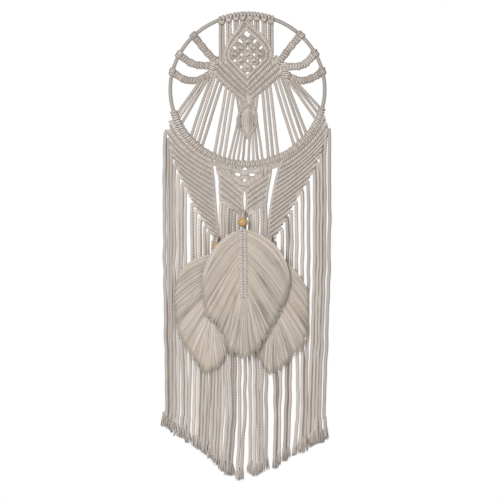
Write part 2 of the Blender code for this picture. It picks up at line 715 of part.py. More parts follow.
def lock_point(spine, outline, bend, share, along, depth):
    """A point of a feather: share picks the fibre from top to bottom, along runs out from the spine."""
    root = smooth_at(spine, share)
    x, z = interpolate(outline, share)
    tip = flat(x, z)
    root.y = tip.y = depth
    knee = Vector((root.x + (tip.x - root.x) * bend[0], depth, root.z + (tip.z - root.z) * bend[1]))
    return root * (1 - along) ** 2 + knee * 2 * along * (1 - along) + tip * along ** 2


def add_lock(work, spine, outline, bend, index, depth):
    """A lock of combed fibre, four-sided, widening from the spine and closing at its tip."""
    first = (index + 0.05) / LOCKS_A_SIDE
    last = (index + 0.95) / LOCKS_A_SIDE
    reach = 1.0 - LOCK_UNEVEN * (index % 2)
    rings = []
    for along, share_kept, thick in LOCK_SECTIONS:
        middle = (first + last) / 2
        half = (last - first) / 2 * share_kept
        ring = []
        for share, front in ((middle - half, -1), (middle + half, -1), (middle + half, 1),
                             (middle - half, 1)):
            point = lock_point(spine, outline, bend, share, along * reach, depth)
            point.y += front * LEAF_HALF * thick
            ring.append(point)
        rings.append(ring)
    skin(work, rings)


def make_leaf(name, settings, material):
    depth = settings["depth"] * MM
    bend = settings["bend"]
    spine = even_line([flat(x, z) for x, z in settings["spine"]], SPINE_POINTS)
    for point in spine:
        point.y = depth
    ridges = [SPINE_RIDGE if index % 2 else SPINE_GROOVE for index in range(len(spine))]
    depths = [SPINE_RIDGE_DEPTH if index % 2 else SPINE_GROOVE_DEPTH for index in range(len(spine))]
    makers = [lambda work: skin(work, bar_rings(spine, ridges, depths, 6))]
    hanger = [Vector(place) * MM for place in settings["hanger"]]
    rounds = [HANGER_RADIUS] * len(hanger)
    makers.append(lambda work: skin(work, bar_rings(hanger, rounds, rounds, 6)))
    for side in ("left", "right"):
        for index in range(LOCKS_A_SIDE):
            makers.append(lambda work, a=settings[side], b=index: add_lock(work, spine, a, bend, b, depth))
    return unite(name, makers, material)


def make_bead(name, place, material):
    """A turned bead with the hole that its cord runs through."""
    start = math.asin(BORE_RADIUS / BEAD_RADIUS)
    profile = []
    for row in range(BEAD_ROWS + 1):
        angle = start + (math.pi - 2 * start) * row / BEAD_ROWS
        profile.append((BEAD_RADIUS * math.sin(angle), BEAD_RADIUS * math.cos(angle)))
    turns = [2 * math.pi * index / BEAD_SIDES for index in range(BEAD_SIDES)]
    centre = Vector(place) * MM

    def fill(work):
        rings = [[work.verts.new(centre + Vector((radius * math.cos(turn), radius * math.sin(turn), height)))
                  for turn in turns] for radius, height in profile]
        for ring, following in zip(rings, rings[1:] + rings[:1]):
            for index in range(BEAD_SIDES):
                after = (index + 1) % BEAD_SIDES
                work.faces.new((ring[index], ring[after], following[after], following[index]))

    bead = new_object(name, fill, material)
    bead.data.shade_smooth()
    bead.data.set_sharp_from_angle(angle=BEAD_SHARP_ANGLE)
    return bead


def main():
    clear_scene()
    cotton = make_material("cotton", (0.52, 0.46, 0.41), 0.9)
    fibre = make_material("combed_cotton", (0.56, 0.49, 0.41), 0.92)
    wire = make_material("wrapped_wire", (0.45, 0.42, 0.39), 0.8)
    wood = make_material("bead_wood", (0.45, 0.28, 0.13), 0.45)
    things = [make_hoop(wire), make_net(cotton)]
    for name, settings in FRINGES.items():
        things.append(make_side_fringe(name, settings, cotton))
    things.append(make_centre_fringe(cotton))
    for name, settings in LEAVES.items():
        things.append(make_leaf(name, settings, fibre))
    for name, place in BEADS.items():
        things.append(make_bead(name, place, wood))
    for thing in things:
        thing.location = (0, 0, CENTRE_Z)


main()
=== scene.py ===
"""The looks of the macrame wall hanging, built round its plain solids.

Places in the tables are in millimetres from the hoop's centre, x to the right and z up. The front faces
-Y. Every visible surface but the beads is swept cord: hanging ropes of three plies, loops of half hitches
round their cores, and combed fibres.
"""
import math

import bpy
import numpy as np
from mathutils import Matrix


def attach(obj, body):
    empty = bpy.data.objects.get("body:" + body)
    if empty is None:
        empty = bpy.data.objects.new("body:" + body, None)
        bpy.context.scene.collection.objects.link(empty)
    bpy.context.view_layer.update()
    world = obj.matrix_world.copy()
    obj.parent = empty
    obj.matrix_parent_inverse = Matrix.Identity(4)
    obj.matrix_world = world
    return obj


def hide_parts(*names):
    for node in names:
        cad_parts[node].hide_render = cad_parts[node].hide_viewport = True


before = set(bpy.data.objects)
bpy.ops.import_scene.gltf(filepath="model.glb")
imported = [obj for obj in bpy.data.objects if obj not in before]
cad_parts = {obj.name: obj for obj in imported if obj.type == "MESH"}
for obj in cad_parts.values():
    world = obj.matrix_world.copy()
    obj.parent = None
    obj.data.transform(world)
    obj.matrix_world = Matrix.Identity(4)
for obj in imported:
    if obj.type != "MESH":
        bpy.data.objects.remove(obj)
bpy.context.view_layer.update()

MM = 0.001
SEED = 20
rng = np.random.default_rng(SEED)

# Where a name ends on HALVES or FILL, it gives half the width or height, and half the depth.

SIDEWAYS = (1.0, 0.0, 0.0)
DEEP = np.array((0.0, 1.0, 0.0))
UPWARD = (0.0, 0.0, 1.0)

# The hoop, whose wire rests on the nail at the top, and the winding of thin cord round its wire.
HOOP_RADIUS_X = 122.0
HOOP_RADIUS_Z = 118.0
WIRE_RADIUS = 3.0
CENTRE_Z = -(HOOP_RADIUS_Z - WIRE_RADIUS)
WRAP_PITCH = 1.9
WRAP_RELIEF = 0.07
# The winding's turns are painted lighter on their crests and darker between them, and its sides darker:
# painted light and shade.
WRAP_CREST_LIGHT_AND_SHADE = 0.3
WRAP_SHADE = 2.4
WRAP_SIDES = 12

# The cord: three plies twisted together. ROPE_SHADE is painted shade: how much darker a cord is painted
# at its sides, as the shade where cords lie against each other, in steps of tone.
CORD_RADIUS = 2.3
FRINGE_RADIUS = 2.62
EDGE_CORD_RADIUS = 2.2
PLIES = 3
PLY_RELIEF = 0.17
ROPE_PITCH = 14.0
ROPE_SIDES = 10
ROPE_STEP = 1.5
ROPE_SHADE = 2.7
SHADE_POWER = 1.35

# Tones of the cords, of which within and turn are added to a knot's own.
# Columns: the middle, and how much it varies.
TONES = {
    "head": (-0.35, 0.3),
    "edge": (-0.1, 0.15),
    "knot": (-0.75, 0.25),
    "net": (-0.9, 0.2),
    "berry": (-0.4, 0.6),
    "straight": (-0.6, 0.4),
    "within": (0, 0.15),
    "turn": (0.5, 0.15),
}

# Half hitches: each loop is a closed ring of cord round a core.
LOOP_POINTS = 12
LOOP_SIDES = 6
# The loops' sides are darkened as painted shade, and the loops are painted lighter than their cord's tone,
# as painted light on their crests.
LOOP_SHADE = 2.4
LOOP_CREST_LIGHT = 0.95
CORE_SIDES = 8
# The core is painted darker, as the shade it lies in between the loops and between the bars.
CORE_PAINTED_SHADE = -1.6
# Ways to tie a bar. Columns: distance between loops, radius of their cord, how far a loop leans along the
# bar, its half width as a share of the distance, how much closer the two loops of one knot lie, tone, and
# how much the tone varies from bar to bar.
STYLES = {
    "cloth": (3.5, 1.6, 1.1, 0.46, 0.1, 0.4, 0.18),
    "centre": (3.2, 1.6, 0.8, 0.54, 0.1, -0.3, 0.2),
    "chevron_left": (2.9, 1.6, 0.6, 0.5, 0.1, -0.1, 0.18),
    "chevron_right": (3.3, 1.6, 1.1, 0.47, 0.1, -0.1, 0.18),
    "side_knot": (3.4, 1.8, 0.8, 0.54, 0.1, -0.6, 0.2),
    "border": (3, 1.6, 0.5, 0.52, 0, 0.1, 0.15),
    "pendant": (3, 1.6, 0.5, 0.52, 0.1, -0.45, 0.15),
    "arm": (4.6, 1.9, 0.5, 0.6, 0, -1.8, 0.2),
    "arm_tie": (3.8, 1.9, 0.4, 0.6, 0.1, -1.4, 0.2),
    "crescent": (4, 1.9, 0.8, 0.44, 0.1, -0.2, 0),
    "spine": (4.1, 1.5, 1.3, 0.43, 0, 0.1, 0),
}
# Painted shade: a dark sheet at the bottom of the groove between two bars, standing in for the shade there.
GROOVE_PAINTED_SHADE = -1.8
GROOVE_HALVES = (1.7, 1.5)
GROOVE_SIDES = 6

# The bar of half hitches along the lower part of the hoop, by the oval's own angle.
BAR_START = math.radians(196.5)
BAR_END = math.radians(346)
CRESCENT_HALVES = (6.5, 6.8)

# Panels of parallel bars. A bar fills a share of its row, up to a greatest half height.
# Columns: number of bars, half depth, style, where an edge cord closes the panel (0 at the bars' starts and
# -1 at their ends), and the rows.
# Columns of the rows: share of the way across, start x, start z, end x, end z, bow.
BAR_POINTS = 9
BAR_OVERLAP = 0.96
BAR_MOST = 5.2
EDGE_CORD_INSET = 1.2
PANELS = {
    "chevron_left": (3, 3.9, "chevron_left", (), (
        (0, -47.4, 52.1, 2.4, 0.5, 0),
        (1, -52.1, 22.6, 3.2, -24.5, -2.2))),
    "chevron_right": (3, 3.9, "chevron_right", (), (
        (0, 46.6, 53.7, -1.4, 4, 0),
        (1, 53.7, 22.9, 0.2, -21.6, 0))),
    "wing_left": (17, 3.7, "cloth", (-1,), (
        (0, -118.5, -41, -57.5, -108.5, -9),
        (0.1, -126, -66, -55.5, -123.5, -6.5),
        (0.25, -120.9, -99.5, -52.6, -146, -3),
        (0.5, -102.7, -145.4, -50, -184.1, 0),
        (0.75, -79, -192, -46.8, -215.7, 0),
        (1, -51.3, -237.8, -43.5, -243, 0))),
    "wing_right": (17, 3.7, "cloth", (-1,), (
        (0, 119.5, -36.5, 53.5, -109, 9.5),
        (0.14, 127.5, -62, 48.1, -129.4, 7),
        (0.25, 125, -76.6, 43.9, -145.5, 5),
        (0.5, 101.9, -131.9, 37.3, -180.1, 1),
        (0.75, 71.9, -181.7, 32.8, -212.5, 0),
        (1, 41.5, -239, 33.6, -243.5, 0))),
    "centre_left": (5, 3.7, "cloth", (0, -1), (
        (0, -49, -122.5, -6.5, -156, 1),
        (0.2, -45.2, -135.8, -7.6, -167, 1),
        (0.4, -44.2, -144.8, -8, -176, 1),
        (0.6, -44, -155, -7.2, -186.5, 1),
        (0.8, -43.6, -165.6, -5.7, -194.5, 1),
        (1, -42.4, -176.5, -3.6, -202, 1))),
    "centre_right": (5, 3.7, "cloth", (0, -1), (
        (0, 37.6, -129.4, -3.6, -157, -1),
        (0.2, 35.8, -139.4, -1.9, -166.5, -1),
        (0.4, 34, -149.4, -1.5, -174.2, -1),
        (0.6, 32.4, -159.3, -1.8, -183.4, -1),
        (0.8, 31.2, -169, -2.8, -191.5, -1),
        (1, 30.8, -177.3, -3.8, -201.5, -1))),
}

# The double border of the diamond, which runs on as the chevron's first two bars.
# Columns: half heights along the way, half depth, the way along the middle.
BORDERS = {
    "left_outer": ((3.8, 4.4, 4.2, 3.8, 3.6, 3.9, 4), 3.7, (
        (-6.2, 108.4), (-15.6, 93.2), (-25.4, 80.6), (-32.8, 67.2), (-35.4, 54.5), (-33.4, 45),
        (-26.9, 36.9), (-19.2, 28.6), (-11.4, 20.6), (1.4, 7.2))),
    "left_inner": ((3.6, 4, 4, 3.6, 3.6, 3.9, 3.9), 3.6, (
        (1.4, 101.4), (-8.6, 89.2), (-16, 81.2), (-22.1, 72.7), (-27.7, 64), (-30, 54.5),
        (-27.4, 47.2), (-19.7, 38.9), (-11.9, 30.8), (1.4, 17.2))),
    "right_inner": ((3.6, 3.9, 3.9, 3.7, 3.7, 3.8, 3.9), 3.6, (
        (-1.6, 96.4), (9.2, 86.6), (16.3, 80.1), (23.7, 72.2), (28.6, 63.5), (29.8, 55.6), (27.4, 48.2),
        (19.7, 39.8), (13.4, 33.5), (-0.8, 19.6))),
    "right_outer": ((3.4, 3.9, 4.1, 4, 3.9, 3.9, 3.9), 4.2, (
        (-6.6, 112), (-0.5, 105.1), (7.4, 98.6), (16.3, 90.4), (24.2, 82.8), (31.1, 73.6),
        (35.9, 64.3), (36.8, 55.3), (34.6, 46), (27.7, 38.4), (19.7, 30), (8.4, 18.9), (-1, 9.6))),
}
# Half of the room left between two borders, and the halves of the dark sheet that fills it, painted dark
# as the shade between them.
BORDER_GROOVE = 0.7
BORDER_SHADE_FILL = (3.6, 1.1)

# The arms: three loops to a knot, each of its own height, and the turns that tie an arm to the hoop. The
# left arms come first, from the top down.
ARM_HALVES = (6.3, 3.8)
ARM_SWELL = (0.93, 1.04, 1)
TIE_HALF_LENGTH = 5.6
TIE_HALVES = (6.1, 6.4)
ARMS = (
    ((-84.5, 84.5), (-70.3, 66.4), (-60, 54.5), (-46, 40.5)),
    ((-107, 54.8), (-92.9, 43.9), (-79.3, 38.6), (-57.5, 37.4)),
    ((-118.3, 27.7), (-101.9, 16.7), (-87.5, 14.1), (-74.7, 15.8), (-58, 25.5)),
    ((84, 86), (67.9, 67.2), (53.9, 48.5), (44, 39.5)),
    ((106.5, 57), (99.2, 48.5), (85.6, 37.6), (61.5, 35.9)),
    ((118.2, 29), (108.2, 21.1), (90.1, 14.1), (75.2, 16), (61.4, 23.7)),
)

# Bars on their own: beside the chevron, over the centre panel, and round the pendant.
# Columns: half heights along the way, half depth, the way along the middle.
SIDE_KNOTS = (
    ((5.8,), 3.9, ((-53.8, 43.5), (-56.2, 31), (-57.2, 20))),
    ((6.6,), 3.9, ((57.2, 42.5), (58.9, 29), (59.6, 18))),
)
CENTRE_BARS = (
    ((3.7, 4.2, 4.6), 3.4, ((-61, -113.2), (-38, -122.3), (-14, -127.6))),
    ((1.8, 3.4, 5.6, 4.8, 4.2), 3.1, (
        (-49, -121.8), (-38, -128.8), (-26, -136.4), (-14.5, -143.6), (-8, -150.5))),
    ((3.6, 5.6, 4.6), 3.2, ((22, -136), (9.5, -143), (-2.5, -151.5))),
    ((4,), 3.2, ((56, -114.5), (45, -119.8), (31, -124.2), (16, -126.8), (3.2, -128.4))),
    ((7.4, 8.2, 8), 3.9, ((-4.2, -129.6), (-4.2, -135.5), (-4.2, -141.4))),
    ((5, 5.6, 4.6), 3.4, ((-5.4, -145.6), (-5.4, -151), (-5.2, -156.5))),
)
PENDANT_BARS = (
    ((4.6, 6.6, 6.2), 3.9, ((1.6, -9.5), (3.2, -16), (3.6, -23))),
    ((3,), 4.6, (
        (4.6, -20.3), (-4, -29.4), (-11.2, -36.5), (-14.9, -45), (-14.9, -53.7), (-11.3, -61.8),
        (-4.4, -70.6), (1.2, -78))),
    ((3,), 4.7, (
        (1.6, -18.8), (9.4, -28.6), (13.6, -39.8), (14, -50.6), (12.6, -57.7), (8.6, -64.5),
        (2.2, -72.6))),
)
# The berry: cords that bulge to the front and to the back inside the pendant's borders, and a dark sheet
# that fills its middle, painted dark as the shadow there. Columns: x at the top, where the berry is widest,
# and at the foot.
BERRY_CORDS = (
    (-0.6, -8.2, -1.4), (0.2, -4.8, -0.4), (1, -1.4, 0.6), (1.8, 2, 1.4), (2.6, 5.4, 2.2), (3.4, 8.8, 3),
)
BERRY_HEIGHTS = (-26, -37.5, -49, -60, -71.5)
BERRY_Y = 0.4
BERRY_BULGE = 2.6
BERRY_RADIUS = 1.95
BERRY_FILL_LINE = ((-0.4, -40), (-0.6, -50), (-0.4, -60))
BERRY_SHADOW_FILL = (13.4, 1.2)

# The net in the diamond: square knots on a slanting lattice, joined by pairs of cords.
NET_CENTRE = (0.2, 55.5)
NET_STEP = (10, 9.8)
NET_ROWS = (1, 2, 3, 2, 1)
NET_CORD_OFFSET = 2.3
NET_CORD_RADIUS = 2.6
NET_CORD_SAG = 0.6
# A square knot: the bulge of its right side, the turns across its front and its back, and what fills it.
# Columns: x, y, z.
KNOT_SIDE = ((1.2, -1.4, 6.6), (4, -2.2, 4.8), (5.4, -1.8, 1.8), (5.4, -1.8, -1.8), (4, -2.2, -4.8),
             (1.2, -1.4, -6.6))
KNOT_FRONT = ((-4.8, -1.6, 1.4), (-2.4, -4.4, 1.1), (1.4, -4.8, 0.2), (4.8, -1.8, -0.9))
KNOT_BACK = ((-5.4, 1.8, -2.4), (0, 3, -1), (5.4, 1.8, 2.4))
KNOT_FILL = ((0, -0.4, 7.2), (0, -1, 0), (0, -0.4, -7.2))
KNOT_SIDE_RADIUS = 2.5
KNOT_FRONT_RADIUS = 2.3
KNOT_BACK_RADIUS = 2.2
KNOT_FILL_RADIUS = 2.7

# Lark's heads over the hoop, by the x of their middles: two turns over the wire, a bight across them, by
# x, y and z from the wire's middle, and two cords down.
HEADS_X = (-40.8, -29.6, -17.8, -7.2, 4, 14.4, 26.2, 36.7)
TURN_OFFSET = 2.65
TURN_REACH = WIRE_RADIUS + 1.2
TURN_HALVES = (2.55, 1.5)
# Painted shade: the turns are darker where they face neither front nor back, over the top of the wire.
TURN_SHADE = 1.6
TURN_START = -75
TURN_END = 250
BIGHT = ((-2.7, 2, -3.2), (-2.9, -3.4, -4.2), (-1.9, -5.8, -5.4), (0, -6.4, -5.8), (1.9, -5.8, -5.4),
         (2.9, -3.4, -4.2), (2.7, 2, -3.2))
BIGHT_RADIUS = 2.85
BIGHT_FLATNESS = 1.3
HEAD_CORD_OFFSET = 2.1
HEAD_CORD_TOP = (0, -1.5, -4)
HEAD_CORD_FOOT = 46.0

# Straight cords, by the ends that show. Columns: top x, top z, foot x, foot z.
FAN_CORDS = (
    (-76.5, 11.9, -109.8, -37.4), (-70.5, 11.9, -107.3, -43.8), (-64.3, 14.2, -103.5, -52.3),
    (-57.4, 18.6, -89.3, -74.6), (-52.5, 19.5, -83.9, -79.5), (-46.3, 15.2, -77.9, -85.5),
    (-40.6, 8.9, -72.2, -90.2), (-34, 1.5, -52.1, -101.9), (-27.7, -4.3, -44.7, -105.9),
    (-22.1, -9.1, -37.3, -109), (-15.4, -53, -29.6, -111.4), (-12.4, -59.5, -22.8, -113),
    (-8.2, -66.5, -15.6, -113.8), (-3.6, -72.5, -7.6, -113.8), (3.6, -73.5, 1.7, -113.8),
    (7.7, -68.5, 9.5, -113.8), (11.7, -62, 16.6, -113), (15.4, -54.5, 23.5, -111.4),
    (24.3, -6.9, 33, -106.7), (30.3, -1.4, 40.1, -104.4), (36, 2.6, 47.9, -100.3), (43.8, 9.7, 72.7, -85.2),
    (49.1, 14.4, 79.3, -79.5), (54.2, 17.8, 86.1, -73.5), (59.4, 18.8, 92.1, -67.6),
    (64.8, 12.9, 107.6, -45.8), (70.3, 12.6, 111.9, -38.7), (76, 12.4, 116.1, -30.8),
)
PENDANT_CORDS = (
    (-6.6, -18, -4.6, -27.5), (-16.6, -14.2, -12.2, -38.1), (-11.3, -17.6, -8.4, -31.6),
    (10.3, -18.2, 8.7, -27.1), (15.4, -13.5, 12.8, -35),
)
CENTRE_CORDS = (
    (-21, -129.4, 14.5, -130.4), (-19.5, -140, -8.6, -139.6), (1, -139.6, 12.5, -139.8),
    (-10, -123, -9.2, -131), (1.6, -123, 0.6, -131), (-9.6, -139, -9.6, -151), (0.4, -139, -0.6, -152),
    (-22.8, -127, -22.4, -137), (-27.2, -126, -26.8, -134), (13.8, -127.5, 13, -142.5),
    (18.8, -127, 17.6, -141), (23.4, -126.4, 22.8, -137.5), (28, -125.6, 27.9, -134.5),
    (32.6, -124.8, 33, -131), (36, -122, 36.4, -130),
)
CENTRE_CORD_RADIUS = 2.4
# How far a straight cord runs on into the knots at its ends.
CORD_ROOT = 4.0
CENTRE_CORD_ROOT = 1.0
# The cords beside the pendant are pulled tighter and so are thinner.
THIN_RADIUS = 1.95
PENDANT_REACH = 16.0

# Fringes: the side that their cords lean to, how many cords leave the edge where it is steep, their tone,
# the cloth's edge by x and z, and the cords themselves.
# Columns of the cords: x in the upper part, x half way down, x at the foot, depth.
FRINGES = {
    "fringe_left": dict(
        side=-1, steep=3, tone=0.1,
        edge=((-125.5, -66), (-121.9, -99.5), (-103.7, -146.4), (-80, -193), (-49.5, -243)),
        cords=(
            (-130.3, -127.3, -132.2, -0.5), (-125.6, -124, -127.5, 3.2), (-120.6, -120.7, -123.1, 0.5),
            (-115.5, -114.9, -117.4, -0.5), (-109.3, -109.3, -111.1, 0.5), (-103, -101.9, -104.3, -0.5),
            (-98.1, -97, -99.1, 0.5), (-87.4, -92.1, -93.5, -0.5), (-82, -84.1, -85.5, 0.5),
            (-75.4, -77.7, -79, -0.5), (-74.1, -74.6, -75.7, 3.2), (-67.2, -71.6, -73, 0.5),
            (-61.8, -66.2, -68.9, -0.5), (-54.2, -60.8, -64.1, 0.5), (-50.4, -55.3, -58.8, -0.5),
            (-46.9, -50.1, -53.4, 0.5), (-43.5, -44.4, -48.2, -0.5))),
    "fringe_right": dict(
        side=1, steep=3, tone=-0.4,
        edge=((127, -64), (126, -78.6), (102.9, -132.9), (72.9, -182.7), (40.6, -243)),
        cords=(
            (41.1, 44.1, 42.8, -0.5), (43.8, 47.6, 46.5, 3.2), (54.5, 51, 49.8, 0.5),
            (62.4, 60.8, 58, -0.5), (63.4, 63.7, 61.1, 3.2), (69, 66.7, 64.5, 0.5),
            (76.9, 79.6, 75.4, -0.5), (86.1, 86.3, 83.6, 0.5), (86.9, 89.3, 87.1, 3.2),
            (95.6, 92.3, 90.2, -0.5), (105.5, 98.1, 96.5, 0.5), (107.9, 101, 99.7, 3.2),
            (110.9, 103.8, 102.9, -0.5), (116.3, 109.3, 109, 0.5), (118.8, 111.7, 112, 3.2),
            (122, 113.9, 115.5, -0.5), (128.8, 121.2, 123.1, 0.5))),
    "fringe_centre": dict(
        side=0, steep=0, tone=0,
        edge=((-44.2, -176.4), (-24.5, -190.4), (-4, -203.6), (14.5, -190.8), (32.5, -176.6)),
        cords=(
            (-41.9, -38.9, -42.8, 0.5), (-36.7, -32.4, -37.3, -0.5), (-30.8, -26.2, -31.6, 0.5),
            (-25.8, -22.9, -28.6, 3.2), (-19.8, -19.6, -25.8, -0.5), (-13.4, -12.2, -15.5, 0.5),
            (-3.8, -3.8, -9.2, -0.5), (3.6, 4.6, 4.4, 0.5), (9.2, 11.9, 10.9, -0.5),
            (15.3, 17.1, 17.2, 0.5), (22.6, 22.3, 23.4, -0.5), (28.3, 29.7, 29.1, 0.5))),
}
FRINGE_VARY = 0.45
MIDDLE_Z = -498.0
# Waves along the hanging cords. Columns: length of a wave, and the distance between cords in step. A cord's
# own waves have a shortest length, a longest and a number.
SHARED_WAVES = ((64, 90), (113, 150), (41, 60))
SHARED_WAVE_HEIGHT = 0.26
OWN_WAVE_HEIGHT = 0.14
OWN_WAVE_LENGTHS = (35, 120, 3)
WAVE_STEP = 4.0
# A cord arches out of the cloth. How far its root lies inside, how high its crest is, how far beside its
# root it hangs, and how far below it hangs free, also where the edge is steep. There the first cord leaves
# at STEEP_START of the room for one.
STEEP_START = 0.3
ROOT_INSET = 5.5
CREST_RISE = 2.4
ARCH_REACH = 3.2
ARCH_DROP = 9.0
STEEP_DROP = 19.0
# The frayed end of a cord: its length, the number of its fibres, how far they spread, how much lighter
# they are painted, as painted light that makes up for the shade among the fibres, and their radius along
# the way.
FRAY_LENGTH = 17.0
FRAY_FIBRES = 32
FRAY_REACH = 6.2
FRAY_PAINTED_LIGHT = 0.8
FRAY_RADII = (0.8, 0.75, 0.7, 0.65, 0.3)
# Columns: x, z of the lowest fibres.
HEM = (
    (-135, -531.7), (-123.9, -536.2), (-113.8, -548.3), (-103.6, -552.4), (-87.5, -564.4), (-73.5, -572.5),
    (-59.4, -582.5), (-45.2, -600.7), (-33.2, -609.7), (-23.1, -612.7), (-13, -619.8), (-4, -614.7),
    (0, -606.7), (11.2, -612.7), (27.3, -604.6), (43.5, -598.6), (55.6, -592.6), (63.7, -584.6),
    (77.7, -578.6), (89.7, -574.5), (97.8, -566.4), (107.9, -562.5), (120.1, -556.3), (130, -549.4),
)

# Feathers. The spine runs from top to bottom at a depth. bend is where the top fibres of a side bend, as
# shares of their reach and of their drop, tip_tone how much lighter their tips are painted, as painted light
# along the feather's outline against the shadow there, and drape how far the tips lie behind the roots. The
# hanger is the cord that the feather hangs by, by x, y and z.
# Columns of the tips to each side: share of the way from the top lock to the bottom lock, x, z.
# Columns of the partings, which are gaps between locks painted dark as the shade in them: share of that
# way, half width.
LEAVES = {
    "leaf_front": dict(
        spine=((-7.3, -221), (-6.6, -275), (-5.8, -328)), depth=-22.5,
        bend=dict(left=(0.83, 0.15), right=(0.89, 0.12)), tone=0,
        tip_tone=dict(left=1.3, right=1.9), drape=7.2,
        fibres=2100,
        hanger=((-4.6, -3.7, -193.5), (-4.8, -7, -193.7), (-6.2, -11.5, -196.5), (-7.3, -14, -201),
                (-7.3, -14, -219), (-7.3, -19.5, -224)),
        left=((0, -72.7, -308.9), (0.2, -71.4, -335.8), (0.4, -67.2, -361), (0.6, -49.8, -375),
              (0.75, -37, -394.6), (0.87, -28.5, -418.8), (1, -2, -430)),
        right=((0, 67.9, -307.3), (0.2, 64.8, -327.9), (0.4, 56.9, -348.4), (0.6, 43.5, -372.1),
               (0.78, 29.2, -396.2), (0.9, 15, -418.8), (1, -9.5, -430)),
        partings=dict(left=((0.3, 0.04), (0.6, 0.03), (0.72, 0.06)), right=((0.4, 0.035), (0.65, 0.03)))),
    "leaf_left": dict(
        spine=((-48.2, -258.5), (-52, -312), (-57.7, -364)), depth=-10.8,
        bend=dict(left=(0.78, 0.16), right=(0.78, 0.16)), tone=0.7,
        tip_tone=dict(left=0.5, right=0.5), drape=5,
        fibres=1500,
        hanger=((-46.8, -3.7, -233), (-46.9, -5.8, -233.2), (-47.6, -9.4, -236), (-48.2, -10.8, -240.2),
                (-48.2, -10.8, -261)),
        left=((0, -110.6, -296.3), (0.15, -116.9, -316.8), (0.3, -119.3, -342.1), (0.45, -116.9, -367.4),
              (0.6, -110.6, -391.1), (0.72, -99.5, -411.6), (0.86, -83.7, -433.7), (1, -65.6, -454.3)),
        right=((0, -8, -340), (0.3, -12, -375), (0.55, -24, -408), (0.7, -33.2, -424.2),
               (0.85, -45.8, -442.4), (1, -68, -454.3)),
        partings=dict(left=((0.24, 0.016), (0.5, 0.02), (0.7, 0.016)), right=((0.5, 0.02),))),
    "leaf_right": dict(
        spine=((36, -258.5), (37, -312), (38.7, -364)), depth=-10.8,
        bend=dict(left=(0.72, 0.26), right=(0.72, 0.26)), tone=0.15,
        tip_tone=dict(left=0.5, right=1.2), drape=5,
        fibres=1500,
        hanger=((37, -3.7, -233), (36.9, -5.8, -233.2), (36.4, -9.4, -236), (36, -10.8, -240.2),
                (36, -10.8, -261)),
        left=((0, 2, -345), (0.35, 4, -385), (0.6, 12, -415), (0.8, 22.9, -440.2),
              (1, 36.3, -454.3)),
        right=((0, 97.2, -326.3), (0.2, 99.5, -357.2), (0.38, 97.2, -386.3), (0.54, 89.7, -411.6),
               (0.7, 68.7, -429.8), (0.86, 54.5, -444.8), (1, 34, -454.3)),
        partings=dict(left=((0.5, 0.02),), right=((0.36, 0.016),))),
}
# The stations along a fibre, from its root to its tip.
FIBRE_STEPS = np.linspace(0, 1, 9)
FIBRE_SIDES = 3
FIBRE_RADIUS = 0.42
# The share of the fibres that lie on the front, the rest being on the back.
FRONT_SHARE = 0.64
# Fibres gather to locks, of two sizes, by up to this share of a lock's width.
CLUMPS = (11, 44)
CLUMP_PULL = 0.32
# Where the lower fibres bend, and over which share of the spine the top ones' bend fades to it.
INNER_BEND = (0.5, 0.46)
BEND_FADES_OVER = 0.13
# The sheet behind the fibres, which closes the gaps between them, painted darker as the shade seen
# through them.
BODY_ROWS = 40
BODY_REACH = 0.93
BODY_HALF = 1.0
BODY_PAINTED_SHADE = -0.3
# Unevenness from the top lock to the bottom lock. Columns: number of bands, and their height.
RIDGE_BANDS = ((9, 0.25), (33, 0.25), (90, 0.3))
SWAY_BANDS = ((14, 0.8), (40, 0.5))
TONE_BANDS = ((8, 0.16), (30, 0.22), (80, 0.45), (160, 0.5))
# How much darker the fibres in a parting are painted: painted shade.
PARTING_PAINTED_SHADE = 1.5
SPINE_KNOT_OFFSET = 3.5
SPINE_KNOT_RISE = 0.6
SPINE_KNOT_HALVES = (4, 3.3)

BEADS = {
    "bead_centre": (-7.3, -14, -210),
    "bead_left": (-48.2, -10.8, -249),
    "bead_right": (36, -10.8, -249),
}
BEAD_RADIUS = 8.0
BORE_RADIUS = 2.7
BEAD_SIDES = 48
BEAD_ROWS = 22
# The rounded rim of the bore. Columns: how much wider than the bore, and how far below the ball's end.
RIM = ((0, 1.2), (0.15, 0.4), (0.5, 0.05))

# Colours of the materials. Columns of the cottons: light, dark, warm; dark is also the end that painted
# shade leans to.
# Columns of the wood: early rings, late rings, dark grain.
COLOURS = {
    "cotton_cord": ((0.74, 0.675, 0.62), (0.25, 0.21, 0.185), (0.69, 0.59, 0.53)),
    "hoop_cord": ((0.60, 0.55, 0.51), (0.17, 0.15, 0.135), (0.55, 0.49, 0.44)),
    "combed_cotton": ((0.72, 0.655, 0.57), (0.30, 0.26, 0.215), (0.69, 0.58, 0.495)),
    "bead_wood": ((0.44, 0.27, 0.10), (0.56, 0.40, 0.18), (0.33, 0.17, 0.06)),
    "floor_paint": ((0.80, 0.80, 0.79), (0.84, 0.84, 0.83)),
}
# How dark the grooves between the plies are painted: painted shade.
PLY_SHADE = 0.95
WRAP_PLIES = 2
WRAP_TWIST = 3.0

# The camera stands straight in front, as for the photograph.
IMAGE_SIZE = 500
MM_PER_PIXEL = 1.58
PHOTO_CENTRE = (3.95, -253.6)
CAMERA_DISTANCE = 3.2
SENSOR_WIDTH = 36.0
# The room's light, as a share of how bright the wall behind looks.
ROOM_LIGHT = 0.32
# Columns: place, size, watts.
LAMPS = {
    "key": ((-1.15, -2.4, 0.5), 1.3, 67),
    "fill": ((1.5, -2, -0.4), 1.4, 12),
    "back": ((0.9, 2.4, 0.5), 1.2, 40),
}
LAMPS_AIM = (0, 0, -0.36)
FLOOR_HALF = 3.0
FLOOR_Z = -1.75


# ---------------------------------------------------------------- curves

def place(x, z, y=0.0):
    """A table's place, in the frame's millimetres."""
    return np.array((x, y, z + CENTRE_Z))


